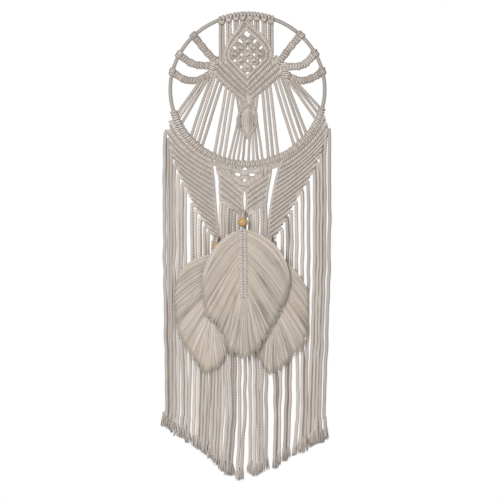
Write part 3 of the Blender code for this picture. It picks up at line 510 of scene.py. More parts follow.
def unit(vectors):
    return vectors / np.maximum(np.linalg.norm(vectors, axis=-1, keepdims=True), 1e-9)


def travelled(line):
    steps = np.linalg.norm(np.diff(line, axis=0), axis=1)
    return np.concatenate(([0.0], np.cumsum(steps)))


def smooth(points, steps=12):
    """The Catmull-Rom curve through the given points."""
    points = np.asarray(points, float)
    padded = np.vstack((2 * points[0] - points[1], points, 2 * points[-1] - points[-2]))
    t = (np.arange(steps) / steps)[:, None]
    curve = []
    for before, first, last, after in zip(padded, padded[1:], padded[2:], padded[3:]):
        curve.append(0.5 * (2 * first + (last - before) * t
                            + (2 * before - 5 * first + 4 * last - after) * t ** 2
                            + (3 * first - before - 3 * last + after) * t ** 3))
    curve.append(points[-1:])
    return np.vstack(curve)


def at_shares(line, shares):
    """The points of a line at shares of its length."""
    reached = travelled(line)
    wanted = np.asarray(shares) * reached[-1]
    return np.stack([np.interp(wanted, reached, line[:, axis]) for axis in range(3)], -1)


def even(line, step):
    """A line's points set anew at even distances of about a step."""
    count = max(2, int(round(travelled(line)[-1] / step)) + 1)
    return at_shares(line, np.linspace(0, 1, count))


def rows_at(rows, shares):
    """A table's rows at several shares of the way, one column after another."""
    table = np.array(rows, float)
    return [np.interp(shares, table[:, 0], table[:, column]) for column in range(1, table.shape[1])]


def bent(starts, knees, ends, along):
    """Curves from starts to ends that lean towards their knees."""
    return (starts[:, None] * (1 - along) ** 2 + knees[:, None] * 2 * along * (1 - along)
            + ends[:, None] * along ** 2)


def wander(line):
    """Slow waves that hanging cords share with their neighbours, and small ones of each cord's own."""
    reached = travelled(line)
    calm = np.abs(np.sin(np.pi * reached / reached[-1])) ** 0.5
    moved = line.copy()
    for length, lag in SHARED_WAVES:
        turns = line[:, 2] / length + line[0, 0] / lag
        moved[:, 0] += SHARED_WAVE_HEIGHT * calm * np.sin(2 * np.pi * turns)
    for length in rng.uniform(*OWN_WAVE_LENGTHS):
        for axis in (0, 1):
            turns = reached / length + rng.random()
            moved[:, axis] += OWN_WAVE_HEIGHT * calm * np.sin(2 * np.pi * turns)
    return moved


def way(path, aside=0.0, y=0.0):
    """A smooth line through a table's places, or beside them."""
    return smooth([place(x + aside, z, y) for x, z in path])


# ---------------------------------------------------------------- meshes

class Heap:
    """Gathers swept tubes into one mesh, with the way round and along each tube as its thread map."""

    def __init__(self):
        self.points, self.tones, self.faces, self.maps, self.count = [], [], [], [], 0

    def add(self, points, tones, face_groups):
        for corners, coordinates in face_groups:
            self.faces.append(corners + self.count)
            self.maps.append(coordinates)
        self.points.append(points)
        self.tones.append(tones)
        self.count += len(points)

    def build(self, name, material):
        mesh = bpy.data.meshes.new(name)
        points = np.concatenate(self.points) * MM
        corners = np.concatenate([group.ravel() for group in self.faces])
        totals = np.concatenate([np.full(len(group), group.shape[1]) for group in self.faces])
        mesh.vertices.add(len(points))
        mesh.vertices.foreach_set("co", points.astype(np.float32).ravel())
        mesh.loops.add(len(corners))
        mesh.loops.foreach_set("vertex_index", corners.astype(np.int32))
        mesh.polygons.add(len(totals))
        starts = np.concatenate(([0], np.cumsum(totals)[:-1]))
        mesh.polygons.foreach_set("loop_start", starts.astype(np.int32))
        mesh.polygons.foreach_set("use_smooth", np.ones(len(totals), bool))
        mesh.update(calc_edges=True)
        layer = mesh.uv_layers.new(name="thread")
        coordinates = np.concatenate([group.reshape(-1, 2) for group in self.maps])
        layer.uv.foreach_set("vector", coordinates.astype(np.float32).ravel())
        tone = mesh.attributes.new("tone", "FLOAT", "POINT")
        tone.data.foreach_set("value", np.concatenate(self.tones).astype(np.float32))
        mesh.materials.append(material)
        return linked(name, mesh)


def quads(ring, side, rings, sides):
    """The corners of the faces of a tube, by their rings and their sides."""
    after, beside = (ring + 1) % rings, (side + 1) % sides
    return np.stack((ring * sides + side, after * sides + side, after * sides + beside,
                     ring * sides + beside), -1)


def sweep(heap, paths, half_width, half_depth, lift, sides, tone, closed=False, turn=None, relief=0.0,
          start=0.0, shade=0.0):
    """Tubes of an oval section along many paths of one length. lift points to the section's depth, turn
    winds the plies' relief round it, and shade darkens what faces neither the front nor the back, as painted
    shade at the tube's sides."""
    paths = np.asarray(paths, float)
    tubes, points = paths.shape[:2]

    def each(values):
        return np.broadcast_to(values, (tubes, points))[..., None]

    if closed:
        ahead = unit(np.roll(paths, -1, 1) - np.roll(paths, 1, 1))
    else:
        ahead = unit(np.gradient(paths, axis=1))
    across = unit(np.cross(ahead, np.broadcast_to(lift, paths.shape)))
    deep = np.cross(across, ahead)
    angles = 2 * np.pi * (np.arange(sides) + (0.75 if sides == 3 else 0.5)) / sides
    wide, thick = each(half_width) * np.cos(angles), each(half_depth) * np.sin(angles)
    if turn is not None:
        swell = 1 + relief * np.cos(PLIES * angles - each(turn))
        wide, thick = wide * swell, thick * swell
    rings = paths[:, :, None] + across[:, :, None] * wide[..., None] + deep[:, :, None] * thick[..., None]
    reached = np.zeros((tubes, points + 1))
    steps = np.linalg.norm(np.roll(paths, -1, 1) - paths, axis=-1)
    reached[:, 1:] = np.cumsum(steps, 1)
    reached += start
    spans = points if closed else points - 1
    tube, ring, side = np.meshgrid(np.arange(tubes), np.arange(spans), np.arange(sides), indexing="ij")
    corners = quads(ring, side, points, sides) + (tube * points * sides)[..., None]
    low, high = reached[tube, ring], reached[tube, ring + 1]
    left, right = side / sides, (side + 1) / sides
    coordinates = np.stack((left, low, left, high, right, high, right, low), -1)
    groups = [(corners.reshape(-1, 4), coordinates.reshape(-1, 4, 2))]
    if not closed:
        foot = (np.arange(tubes) * points * sides)[:, None] + np.arange(sides)
        head = foot[:, ::-1] + (points - 1) * sides
        groups += [(cap, np.zeros((tubes, sides, 2))) for cap in (foot, head)]
    tones = each(np.asarray(tone, float).reshape(-1, 1) if np.ndim(tone) < 2 else tone)
    # Painted shade: the tone is darkened where the surface faces neither the front nor the back.
    facing = np.abs(across[..., 1:2] * np.cos(angles) + deep[..., 1:2] * np.sin(angles))
    away = np.maximum(1 - facing, 0) ** SHADE_POWER
    heap.add(rings.reshape(-1, 3), (tones - shade * away).ravel(), groups)


def rope(heap, line, radius=CORD_RADIUS, tone=0.0, lift=DEEP, flat=1.0):
    """One cord of three plies along a line, with its grooves where its material shades them."""
    line = even(np.asarray(line, float), ROPE_STEP)
    start = rng.uniform(0, ROPE_PITCH)
    turn = 2 * np.pi * (travelled(line) + start) / ROPE_PITCH * PLIES + np.pi + np.pi * PLIES / ROPE_SIDES
    sweep(heap, line[None], radius, radius * flat, lift, ROPE_SIDES, tone, turn=turn[None],
          relief=PLY_RELIEF, start=start, shade=ROPE_SHADE)


def hitches(heap, line, half_height, half_depth, style, lean=1.0, swell=(1.0,)):
    """A bar of half hitches: slanting loops of cord, two to a knot, round a core along a line. Half heights
    are spread over the line, and swell makes loops higher in turn."""
    pitch, radius, slant, fill, pair, tone, vary = STYLES[style]
    if vary:
        tone = rng.normal(tone, vary)
    length = travelled(line)[-1]
    count = max(2, int(round(length / pitch)))
    shares = (np.arange(count) + 0.5) / count
    shares = shares + np.where(np.arange(count) % 2, -1, 1) * pair / count / 2
    centres = at_shares(line, shares)
    before, after = np.maximum(shares - 0.02, 0), np.minimum(shares + 0.02, 1)
    ahead = unit(at_shares(line, after) - at_shares(line, before))
    up = unit(np.cross(ahead, DEEP))
    stations = np.linspace(0, 1, np.size(half_height))
    heights = np.interp(shares, stations, np.atleast_1d(half_height))
    heights = heights * rng.normal(1, 0.025, count) * np.resize(swell, count)
    turns = 2 * np.pi * np.arange(LOOP_POINTS) / LOOP_POINTS
    high = np.maximum(heights - radius, 0.4)[:, None]
    thick = (half_depth * rng.normal(1, 0.03, count))[:, None] - radius
    loops = (centres[:, None] + up[:, None] * (high * np.cos(turns))[..., None]
             + DEEP * (thick * np.sin(turns))[..., None]
             + ahead[:, None] * (slant * lean * np.cos(turns))[None, :, None])
    # Painted light: the loops are lighter than the bar's tone, as on their lit crests.
    tones = tone + LOOP_CREST_LIGHT + rng.normal(0, 0.3, count)
    sweep(heap, loops, radius, pitch * fill, ahead[:, None], LOOP_SIDES, tones, closed=True,
          shade=LOOP_SHADE)
    # The core, painted dark as the shade between the loops and between the bars.
    core_shares = np.linspace(0, 1, max(3, int(length / 8)))
    core_height = np.interp(core_shares, stations, np.atleast_1d(half_height))
    core_height = np.maximum(core_height - radius, 0.5)
    sweep(heap, at_shares(line, core_shares)[None], core_height[None], half_depth - radius, DEEP, CORE_SIDES,
          tone + CORE_PAINTED_SHADE)


def groove(heap, line, halves=GROOVE_HALVES):
    """The dark bottom of the groove between two bars, where their cords pass from one to the other: a sheet
    painted dark as the shade there.
    """
    sweep(heap, even(line, 6.0)[None], *halves, DEEP, GROOVE_SIDES, GROOVE_PAINTED_SHADE)


def linked(name, data):
    """A new object in the scene."""
    thing = bpy.data.objects.new(name, data)
    bpy.context.scene.collection.objects.link(thing)
    return thing


def ride(thing, slot, *nodes):
    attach(thing, "root")
    if nodes:
        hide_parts(*nodes)
    return thing


# ---------------------------------------------------------------- materials

class Graph:
    """Short calls for the nodes of a material or of the world."""

    def __init__(self, owner):
        owner.use_nodes = True
        self.owner = owner
        self.tree = owner.node_tree

    def put(self, socket, value):
        if isinstance(value, bpy.types.NodeSocket):
            self.tree.links.new(value, socket)
        else:
            socket.default_value = value

    def node(self, kind, inputs=(), **settings):
        """The outputs of a new node. Its inputs are given by name or in their order."""
        made = self.tree.nodes.new("ShaderNode" + kind)
        for name, value in settings.items():
            setattr(made, name, value)
        for key, value in inputs.items() if isinstance(inputs, dict) else enumerate(inputs):
            self.put(made.inputs[key], value)
        return made.outputs

    def math(self, operation, *values):
        return self.node("Math", values, operation=operation)[0]

    def mix(self, share, first, second):
        return self.node("Mix", dict(Factor=share, A=first, B=second), data_type="RGBA")["Result"]

    def noise(self, vector, scale, detail=2.0, roughness=0.5):
        values = dict(Vector=vector, Scale=scale, Detail=detail, Roughness=roughness)
        return self.node("TexNoise", values)["Fac"]

    def spread(self, value, low, high, to_low=0.0, to_high=1.0):
        return self.node("MapRange", (value, low, high, to_low, to_high))[0]

    def thread(self):
        """The way round a tube, from 0 to 1, and the way along it in millimetres."""
        return self.node("SeparateXYZ", self.node("UVMap", uv_map="thread")[:1])[:2]

    def vector(self, *values):
        return self.node("CombineXYZ", values)[0]

    def tone(self):
        return self.node("Attribute", attribute_name="tone")["Fac"]

    def place(self):
        return self.node("TexCoord")["Object"]

    def bump(self, height, strength, distance, **normal):
        return self.node("Bump", dict(Strength=strength, Distance=distance, Height=height, **normal))[0]

    def surface(self, shader="Principled BSDF", **values):
        """Sets the shader's own sockets, whose names have underscores for spaces here."""
        for name, value in values.items():
            self.put(self.tree.nodes[shader].inputs[name.replace("_", " ")], value)
        return self.owner


def scaled(colour, factor=1.0):
    return (*(min(1.0, part * factor) for part in colour), 1.0)


def cotton(name, plies=PLIES, pitch=ROPE_PITCH):
    """Twisted cotton: plies that wind round the cord, with painted shade in the grooves between them, fine
    fibres along them, and slow drifts of colour.
    """
    light, dark, warm = COLOURS[name]
    graph = Graph(bpy.data.materials.new(name))
    around, along = graph.thread()
    winding = graph.math("SUBTRACT", graph.math("MULTIPLY", around, float(plies)),
                         graph.math("DIVIDE", along, pitch / plies))
    wave = graph.math("ABSOLUTE", graph.math("SINE", graph.math("MULTIPLY", winding, math.pi)))
    fibres = graph.noise(graph.vector(graph.math("MULTIPLY", winding, 5.0),
                                      graph.math("MULTIPLY", along, 0.35), graph.tone()), 1.0, 4.0, 0.6)
    place_now = graph.place()
    drift = graph.noise(place_now, 26.0)
    speck = graph.noise(place_now, 420.0, 3.0, 0.6)
    colour = graph.mix(graph.spread(drift, 0.4, 0.66, 0.0, 0.55), scaled(light), scaled(warm))
    # The tone carries each cord's own tone together with the painted light and shade of the geometry.
    colour = graph.mix(graph.spread(graph.tone(), -2.0, 1.0), scaled(dark), colour)
    ply_groove_shade = graph.math("MULTIPLY", graph.spread(wave, 0.0, 0.6, 1.0, 0.0), PLY_SHADE)
    colour = graph.mix(ply_groove_shade, colour, scaled(dark, 0.62))
    colour = graph.mix(graph.spread(fibres, 0.3, 0.75, 0.0, 0.35), colour, scaled(light, 1.18))
    colour = graph.mix(graph.spread(speck, 0.35, 0.7, 0.22, 0.0), colour, scaled(dark, 0.72))
    plies_bump = graph.bump(wave, 0.6, 0.0006)
    return graph.surface(Base_Color=colour, Roughness=graph.spread(fibres, 0.2, 0.8, 0.95, 0.82),
                         Normal=graph.bump(fibres, 0.55, 0.0003, Normal=plies_bump), Sheen_Weight=0.1,
                         Sheen_Roughness=0.5, Specular_IOR_Level=0.25)


def combed(name):
    """Combed-out cotton: fine streaks along the fibres, lighter and darker by the lock."""
    light, dark, warm = COLOURS[name]
    graph = Graph(bpy.data.materials.new(name))
    around, along = graph.thread()
    tone = graph.tone()
    streak = graph.noise(graph.vector(graph.math("MULTIPLY", tone, 9.0),
                                      graph.math("MULTIPLY", along, 0.02), around), 2.0, 3.0, 0.6)
    drift = graph.noise(graph.place(), 20.0)
    fuzz = graph.noise(graph.place(), 900.0)
    # The tone carries the fibres' own tone together with their painted light and shade.
    colour = graph.mix(graph.spread(tone, -1.6, 1.0), scaled(dark), scaled(light))
    colour = graph.mix(graph.spread(drift, 0.4, 0.66, 0.0, 0.6), colour, scaled(warm))
    colour = graph.mix(graph.spread(streak, 0.35, 0.7, 0.0, 0.3), colour, scaled(dark, 0.8))
    return graph.surface(Base_Color=colour, Roughness=graph.spread(streak, 0.2, 0.8, 0.92, 0.75),
                         Normal=graph.bump(fuzz, 0.3, 0.0002), Sheen_Weight=0.3, Sheen_Roughness=0.45,
                         Specular_IOR_Level=0.25)


def wood(name):
    """Turned pale wood: rings and fine grain along the bore, under a thin wax."""
    early, late, dark = COLOURS[name]
    graph = Graph(bpy.data.materials.new(name))
    place_now = graph.place()
    stretched = graph.node("VectorMath", (place_now, (1.0, 1.0, 0.12)), operation="MULTIPLY")[0]
    rings = graph.node("TexWave", dict(Vector=place_now, Scale=150.0, Distortion=3.0), wave_type="RINGS",
                       rings_direction="Z")["Fac"]
    grain = graph.noise(stretched, 1500.0, 4.0, 0.65)
    colour = graph.mix(rings, scaled(early), scaled(late))
    colour = graph.mix(graph.spread(grain, 0.35, 0.7, 0.45, 0.0), colour, scaled(dark))
    return graph.surface(Base_Color=colour, Roughness=graph.spread(grain, 0.2, 0.8, 0.5, 0.36),
                         Normal=graph.bump(grain, 0.25, 0.0001), Coat_Weight=0.25, Coat_Roughness=0.3)


# ---------------------------------------------------------------- the hoop and what is tied to it

def hoop_point(angle):
    angle = np.asarray(angle, float)
    return np.stack((HOOP_RADIUS_X * np.cos(angle), np.zeros_like(angle),
                     HOOP_RADIUS_Z * np.sin(angle) + CENTRE_Z), -1)


def hoop_angle(x, z):
    return math.atan2(z / HOOP_RADIUS_Z, x / HOOP_RADIUS_X) % (2 * math.pi)


def wire_above(x):
    """The middle of the hoop's wire in its upper half, at an x."""
    return hoop_point(math.acos(x / HOOP_RADIUS_X))


def make_hoop(material):
    """The hoop's wire under a close winding of thin cord."""
    heap = Heap()
    around = math.pi * (HOOP_RADIUS_X + HOOP_RADIUS_Z)
    turns = round(around / WRAP_PITCH)
    steps = turns * 3
    angles = np.linspace(0, 2 * np.pi, steps, endpoint=False)
    winding = np.cos(angles * turns)
    radius = WIRE_RADIUS * (1 + WRAP_RELIEF * winding)
    # Painted light and shade: each turn lighter on its crest and darker between turns.
    tones = rng.normal(*TONES["within"], steps) + WRAP_CREST_LIGHT_AND_SHADE * winding
    sweep(heap, hoop_point(angles)[None], radius[None], radius[None], DEEP, WRAP_SIDES, tones[None],
          closed=True, shade=WRAP_SHADE)
    ride(heap.build("hoop_wrapped", material), "hoop_wrap", "hoop")


def border_height(x):
    """Where a cord from the top meets the upper edge of the diamond, or passes beside its corner."""
    path = np.array(BORDERS["left_outer" if x < BORDERS["right_outer"][2][0][0] else "right_outer"][2])
    corner = int(np.argmax(np.abs(path[:, 0])))
    if abs(x) > abs(path[corner, 0]):
        return HEAD_CORD_FOOT
    upper = path[:corner + 1][np.argsort(path[:corner + 1, 0])]
    return float(np.interp(x, upper[:, 0], upper[:, 1]))


def add_heads(heap):
    """Lark's-head knots over the hoop: two turns over the wire, a bight across them, and two cords down."""
    turn = np.radians(np.linspace(TURN_START, TURN_END, 16))
    outward = np.stack((np.zeros(len(turn)), -np.cos(turn), np.sin(turn)), -1)
    for x in HEADS_X:
        tone = rng.normal(*TONES["head"])
        lean = rng.normal(0, 0.4)
        for side in (-1, 1):
            middle = wire_above(x + side * TURN_OFFSET)
            path = even(middle + outward * TURN_REACH + (lean, 0, 0), ROPE_STEP)
            sweep(heap, path[None], *TURN_HALVES, unit(path - middle), ROPE_SIDES,
                  tone + rng.normal(*TONES["within"]), shade=TURN_SHADE)
            cord_x = x + side * HEAD_CORD_OFFSET
            top = wire_above(cord_x) + HEAD_CORD_TOP
            foot = place(cord_x + rng.normal(0, 0.25), border_height(cord_x) - CORD_ROOT)
            if top[2] - foot[2] > 2 * CORD_RADIUS:
                middle = (top + foot) / 2 + (rng.normal(0, 0.3), 0.8, 0)
                rope(heap, smooth((top, middle, foot)), CORD_RADIUS, tone + rng.normal(*TONES["within"]))
        rope(heap, smooth(wire_above(x) + np.array(BIGHT)), BIGHT_RADIUS, tone + 0.1, UPWARD,
             flat=BIGHT_FLATNESS)


def bar_line(rows, share):
    """The middle of one bar of a panel, by its share of the way across."""
    start_x, start_z, end_x, end_z, bow = (float(value) for value in rows_at(rows, share))
    start, end = place(start_x, start_z), place(end_x, end_z)
    ahead = unit(end - start)
    left = np.array((-ahead[2], 0, ahead[0]))
    along = np.linspace(0, 1, BAR_POINTS)[:, None]
    return start + (end - start) * along + left * bow * 4 * along * (1 - along)


def add_panel(heap, name):
    """Parallel bars of half hitches that fill the room between the table's rows."""
    count, half_depth, style, closed_ends, rows = PANELS[name]
    edges = [bar_line(rows, index / count) for index in range(count + 1)]
    for upper, lower in zip(edges, edges[1:]):
        line = (upper + lower) / 2
        ahead = unit(np.gradient(line, axis=0))
        gap = upper - lower
        room = np.linalg.norm(gap - ahead * (gap * ahead).sum(1)[:, None], axis=1)
        half_height = np.minimum(room / 2 * BAR_OVERLAP, BAR_MOST)
        hitches(heap, line, half_height, half_depth, style)
    for edge in edges:
        groove(heap, edge)
    for end in closed_ends:
        inward = EDGE_CORD_INSET if end == 0 else -EDGE_CORD_INSET
        path = np.array([edge[end] + unit(edge[-1] - edge[0]) * inward for edge in edges])
        rope(heap, smooth(path, 6), EDGE_CORD_RADIUS, rng.normal(*TONES["edge"]))


def add_crescent(heap):
    line = hoop_point(np.linspace(BAR_START, BAR_END, 90))
    hitches(heap, line, *CRESCENT_HALVES, "crescent")


def add_bars(heap, bars, style):
    for half_height, half_depth, path in bars:
        hitches(heap, way(path), half_height, half_depth, style)


def add_knot(heap, centre, tone):
    """A square knot: a bulge of cord to each side, and a turn across the front and the back."""
    lean = rng.choice((-1.0, 1.0))
    for side in (-1, 1):
        uneven = rng.normal(0, 0.25, (len(KNOT_SIDE), 3))
        path = centre + np.array(KNOT_SIDE) * (side, 1, 1) + uneven
        rope(heap, smooth(path, 6), KNOT_SIDE_RADIUS, tone + rng.normal(*TONES["within"]))
    for turn, radius in ((KNOT_FRONT, KNOT_FRONT_RADIUS), (KNOT_BACK, KNOT_BACK_RADIUS)):
        path = centre + np.array(turn) * (lean, 1, 1)
        rope(heap, smooth(path, 6), radius, tone + rng.normal(*TONES["turn"]), UPWARD, flat=1.5)
    rope(heap, centre + np.array(KNOT_FILL), KNOT_FILL_RADIUS, tone - 0.15)


def add_diamond(heap):
    """The diamond's double border, and the net of square knots in it."""
    for half_height, half_depth, path in BORDERS.values():
        hitches(heap, way(path), np.array(half_height) - BORDER_GROOVE, half_depth, "border")
    # Dark sheets between the two borders of each side, painted dark as the shade there.
    shares = np.linspace(0, 1, 40)
    for side in ("left", "right"):
        outer, inner = (at_shares(way(BORDERS[side + part][2]), shares) for part in ("_outer", "_inner"))
        groove(heap, (outer + inner) / 2, BORDER_SHADE_FILL)
    knots = {}
    middle = len(NET_ROWS) // 2
    for row, count in enumerate(NET_ROWS):
        for index in range(count):
            column = 2 * index - (count - 1)
            knots[(column, row)] = place(NET_CENTRE[0] + column * NET_STEP[0],
                                         NET_CENTRE[1] + (middle - row) * NET_STEP[1])
    for (column, row), centre in knots.items():
        add_knot(heap, centre, rng.normal(*TONES["knot"]))
        for side in (-1, 1):
            for drop in (-1, 1):
                if drop > 0 or (column + side, row - 1) not in knots:
                    add_net_cords(heap, centre, np.array((side * NET_STEP[0], 0, -drop * NET_STEP[1])))


def add_net_cords(heap, start, step):
    """The pair of cords from a square knot to the next one."""
    beside = unit(np.cross(step, DEEP)) * NET_CORD_OFFSET
    for side in (-1, 1):
        first = start + beside * side
        last = start + step + beside * side
        middle = (first + last) / 2 + DEEP * NET_CORD_SAG
        rope(heap, (first, middle, last), NET_CORD_RADIUS, rng.normal(*TONES["net"]))


def add_chevron(heap):
    for name in ("chevron_left", "chevron_right"):
        add_panel(heap, name)
    add_bars(heap, SIDE_KNOTS, "side_knot")


def add_arms(heap):
    """Knotted arms: three loops to a knot, the first a little lower, and turns that tie each to the hoop."""
    half = TIE_HALF_LENGTH / HOOP_RADIUS_X
    for path in ARMS:
        hitches(heap, way(path), *ARM_HALVES, "arm", swell=ARM_SWELL)
        angle = hoop_angle(*path[0])
        tie = hoop_point(np.linspace(angle - half, angle + half, 7))
        hitches(heap, tie, *TIE_HALVES, "arm_tie")


def add_pendant(heap):
    """The pendant under the chevron: a ring of bars round a berry, and the cords beside it."""
    add_bars(heap, PENDANT_BARS, "pendant")
    bulge = np.sin(np.linspace(0, np.pi, len(BERRY_HEIGHTS)))
    for top, widest, foot in BERRY_CORDS:
        straight = np.linspace(top, foot, len(BERRY_HEIGHTS))
        for face in (-1, 1):
            line = [place(x + (widest - x) * swell, z, BERRY_Y + face * BERRY_BULGE * swell)
                    for x, z, swell in zip(straight, BERRY_HEIGHTS, bulge)]
            rope(heap, smooth(line), BERRY_RADIUS, rng.normal(*TONES["berry"]))
    # A dark sheet in the berry's middle: painted shadow.
    groove(heap, way(BERRY_FILL_LINE), BERRY_SHADOW_FILL)
    for ends in PENDANT_CORDS:
        add_straight(heap, ends, radius=THIN_RADIUS)


def add_straight(heap, ends, root=CORD_ROOT, radius=CORD_RADIUS):
    """A cord pulled nearly straight between two knots."""
    top, foot = place(*ends[:2]), place(*ends[2:])
    ahead = unit(foot - top)
    side = np.cross(ahead, DEEP)
    start, end = top - ahead * root, foot + ahead * root
    knees = [start + (end - start) * share + side * rng.normal(0, 0.35) + DEEP * rng.normal(0, 0.4)
             for share in (0.33, 0.66)]
    rope(heap, smooth((start, *knees, end)), radius, rng.normal(*TONES["straight"]))


def add_fan(heap):
    for ends in FAN_CORDS:
        add_straight(heap, ends, radius=CORD_RADIUS if abs(ends[0]) > PENDANT_REACH else THIN_RADIUS)


def add_centre(heap):
    for name in ("centre_left", "centre_right"):
        add_panel(heap, name)
    add_bars(heap, CENTRE_BARS, "centre")
    for ends in CENTRE_CORDS:
        add_straight(heap, ends, CENTRE_CORD_ROOT, CENTRE_CORD_RADIUS)


# The pieces of the cloth, in the order in which they draw their random numbers.
NET_PIECES = {
    "lark_heads": add_heads,
    "diamond_net": add_diamond,
    "chevron_hitches": add_chevron,
    "arm_knots": add_arms,
    "pendant_knots": add_pendant,
    "fan_cords": add_fan,
    "crescent_hitches": add_crescent,
    "centre_hitches": add_centre,
    "wing_left_hitches": lambda heap: add_panel(heap, "wing_left"),
    "wing_right_hitches": lambda heap: add_panel(heap, "wing_right"),
}


# ---------------------------------------------------------------- fringes

def edge_crossing(edge, x):
    """The lowest place where an edge crosses an upright at x, or else its nearest end."""
    for (x0, z0), (x1, z1) in reversed(list(zip(edge, edge[1:]))):
        if (x - x0) * (x - x1) <= 0 and x0 != x1:
            return x, z0 + (z1 - z0) * (x - x0) / (x1 - x0)
    return min((edge[0], edge[-1]), key=lambda point: abs(point[0] - x))


def fray(heap, foot, bottom, tone):
    """The loose fibres of a cord's cut end, a broom that widens as it falls."""
    count = FRAY_FIBRES
    angles = rng.uniform(0, 2 * np.pi, count)
    spread = np.sqrt(rng.random(count))
    across, deep = np.cos(angles) * spread, np.sin(angles) * spread
    flare = FRAY_REACH * rng.uniform(0.75, 1.2)
    lean = rng.normal(0, 0.8)
    start = foot + np.stack((across * CORD_RADIUS, deep * CORD_RADIUS, rng.uniform(0, 7, count)), -1)
    end = np.stack((foot[0] + across * flare + lean, foot[1] + deep * flare * 0.75,
                    bottom + rng.exponential(1.9, count) + 2.2 * spread ** 2), -1)
    knee = start + (end - start) * (0.6, 0.6, 0.45)
    paths = bent(start, knee, end, np.linspace(0, 1, len(FRAY_RADII))[None, :, None])
    width = np.array(FRAY_RADII)[None]
    sweep(heap, paths, width, width, DEEP, FIBRE_SIDES, tone + rng.normal(0, 0.3, count))


def make_fringe(name, material):
    """The cords of a fringe, from the cloth's edge down to their frayed ends."""
    settings = FRINGES[name]
    heap = Heap()
    edge, side, steep = settings["edge"], settings["side"], settings["steep"]
    cords = sorted(settings["cords"], key=lambda cord: cord[0] * (-1 if side > 0 else 1))
    hem_x, hem_z = np.array(HEM).T
    for index, (above_x, middle_x, foot_x, depth) in enumerate(cords):
        out = side if side else (-1.0 if middle_x < 0 else 1.0)
        if index < steep:
            drop = STEEP_DROP
            share = (index + STEEP_START) / steep
            root_x, root_z = np.array(edge[0]) + (np.array(edge[1]) - edge[0]) * share
        else:
            drop = ARCH_DROP
            root_x, root_z = edge_crossing(edge, above_x - out * ARCH_REACH)
        bottom = float(np.interp(foot_x, hem_x, hem_z)) + CENTRE_Z + rng.normal(0, 0.8)
        root = place(root_x - out * ROOT_INSET, root_z - 1.0)
        crest = place(root_x + out * 0.4, root_z + CREST_RISE, depth / 2)
        bend = place(above_x + out * 0.4, root_z - drop, depth)
        middle = place(middle_x, MIDDLE_Z, depth)
        upper = np.array((above_x + rng.normal(0, 0.6), depth, bend[2] + (middle[2] - bend[2]) * 0.45))
        foot = np.array((foot_x, depth, bottom + FRAY_LENGTH))
        lower = middle + (foot - middle) * 0.5 + (rng.normal(0, 0.4), 0, 0)
        line = wander(even(smooth((root, crest, bend, upper, middle, lower, foot)), WAVE_STEP))
        tone = rng.normal(settings["tone"], FRINGE_VARY)
        rope(heap, line, FRINGE_RADIUS * rng.normal(1, 0.02), tone)
        # The frayed fibres are painted lighter, against the shade among them.
        fray(heap, foot + (0, 0, 1.5), bottom, tone + FRAY_PAINTED_LIGHT)
    ride(heap.build(name + "_cords", material), "cotton_cord", name)


# ---------------------------------------------------------------- feathers

def fibre_paths(settings, side, shares, reaches, layers):
    """Fibres of one side of a feather. The top ones arch over, and the lower ones fall nearly straight."""
    roots = at_shares(way(settings["spine"]), shares)
    tip_x, tip_z = rows_at(settings[side], shares)
    tips = np.stack((tip_x, np.zeros_like(tip_x), tip_z + CENTRE_Z), -1)
    arch = np.exp(-np.asarray(shares) / BEND_FADES_OVER)[:, None]
    bend = np.array(INNER_BEND) + (np.array(settings["bend"][side]) - INNER_BEND) * arch
    knees = roots + (tips - roots) * np.stack((bend[:, 0], np.zeros(len(bend)), bend[:, 1]), -1)
    along = (FIBRE_STEPS[None, :] * np.asarray(reaches)[:, None])[..., None]
    paths = bent(roots, knees, tips, along)
    paths[:, :, 1] = settings["depth"] + layers + settings["drape"] * along[..., 0] ** 2
    return paths


def streaks(places, *scales):
    """Uneven bands, several finenesses at once. Each scale is a number of bands and their height."""
    return sum(height * np.interp(places, np.linspace(0, 1, bands + 1), rng.normal(0, 1, bands + 1))
               for bands, height in scales)


def add_body(heap, settings, side):
    """The sheet behind the fibres of one side of a feather, painted darker as the shade between the fibres.
    """
    shares = np.linspace(0.01, 0.99, BODY_ROWS)
    sheet = fibre_paths(settings, side, shares, np.full(BODY_ROWS, BODY_REACH), 0.0)
    width = np.linalg.norm(np.diff(sheet, axis=0), axis=-1)
    width = np.vstack((width, width[-1:])) * 0.8
    thick = BODY_HALF * np.interp(FIBRE_STEPS, (0, 0.7, 1), (1, 0.9, 0.3))[None]
    sweep(heap, sheet, width, thick, DEEP, 4, BODY_PAINTED_SHADE)


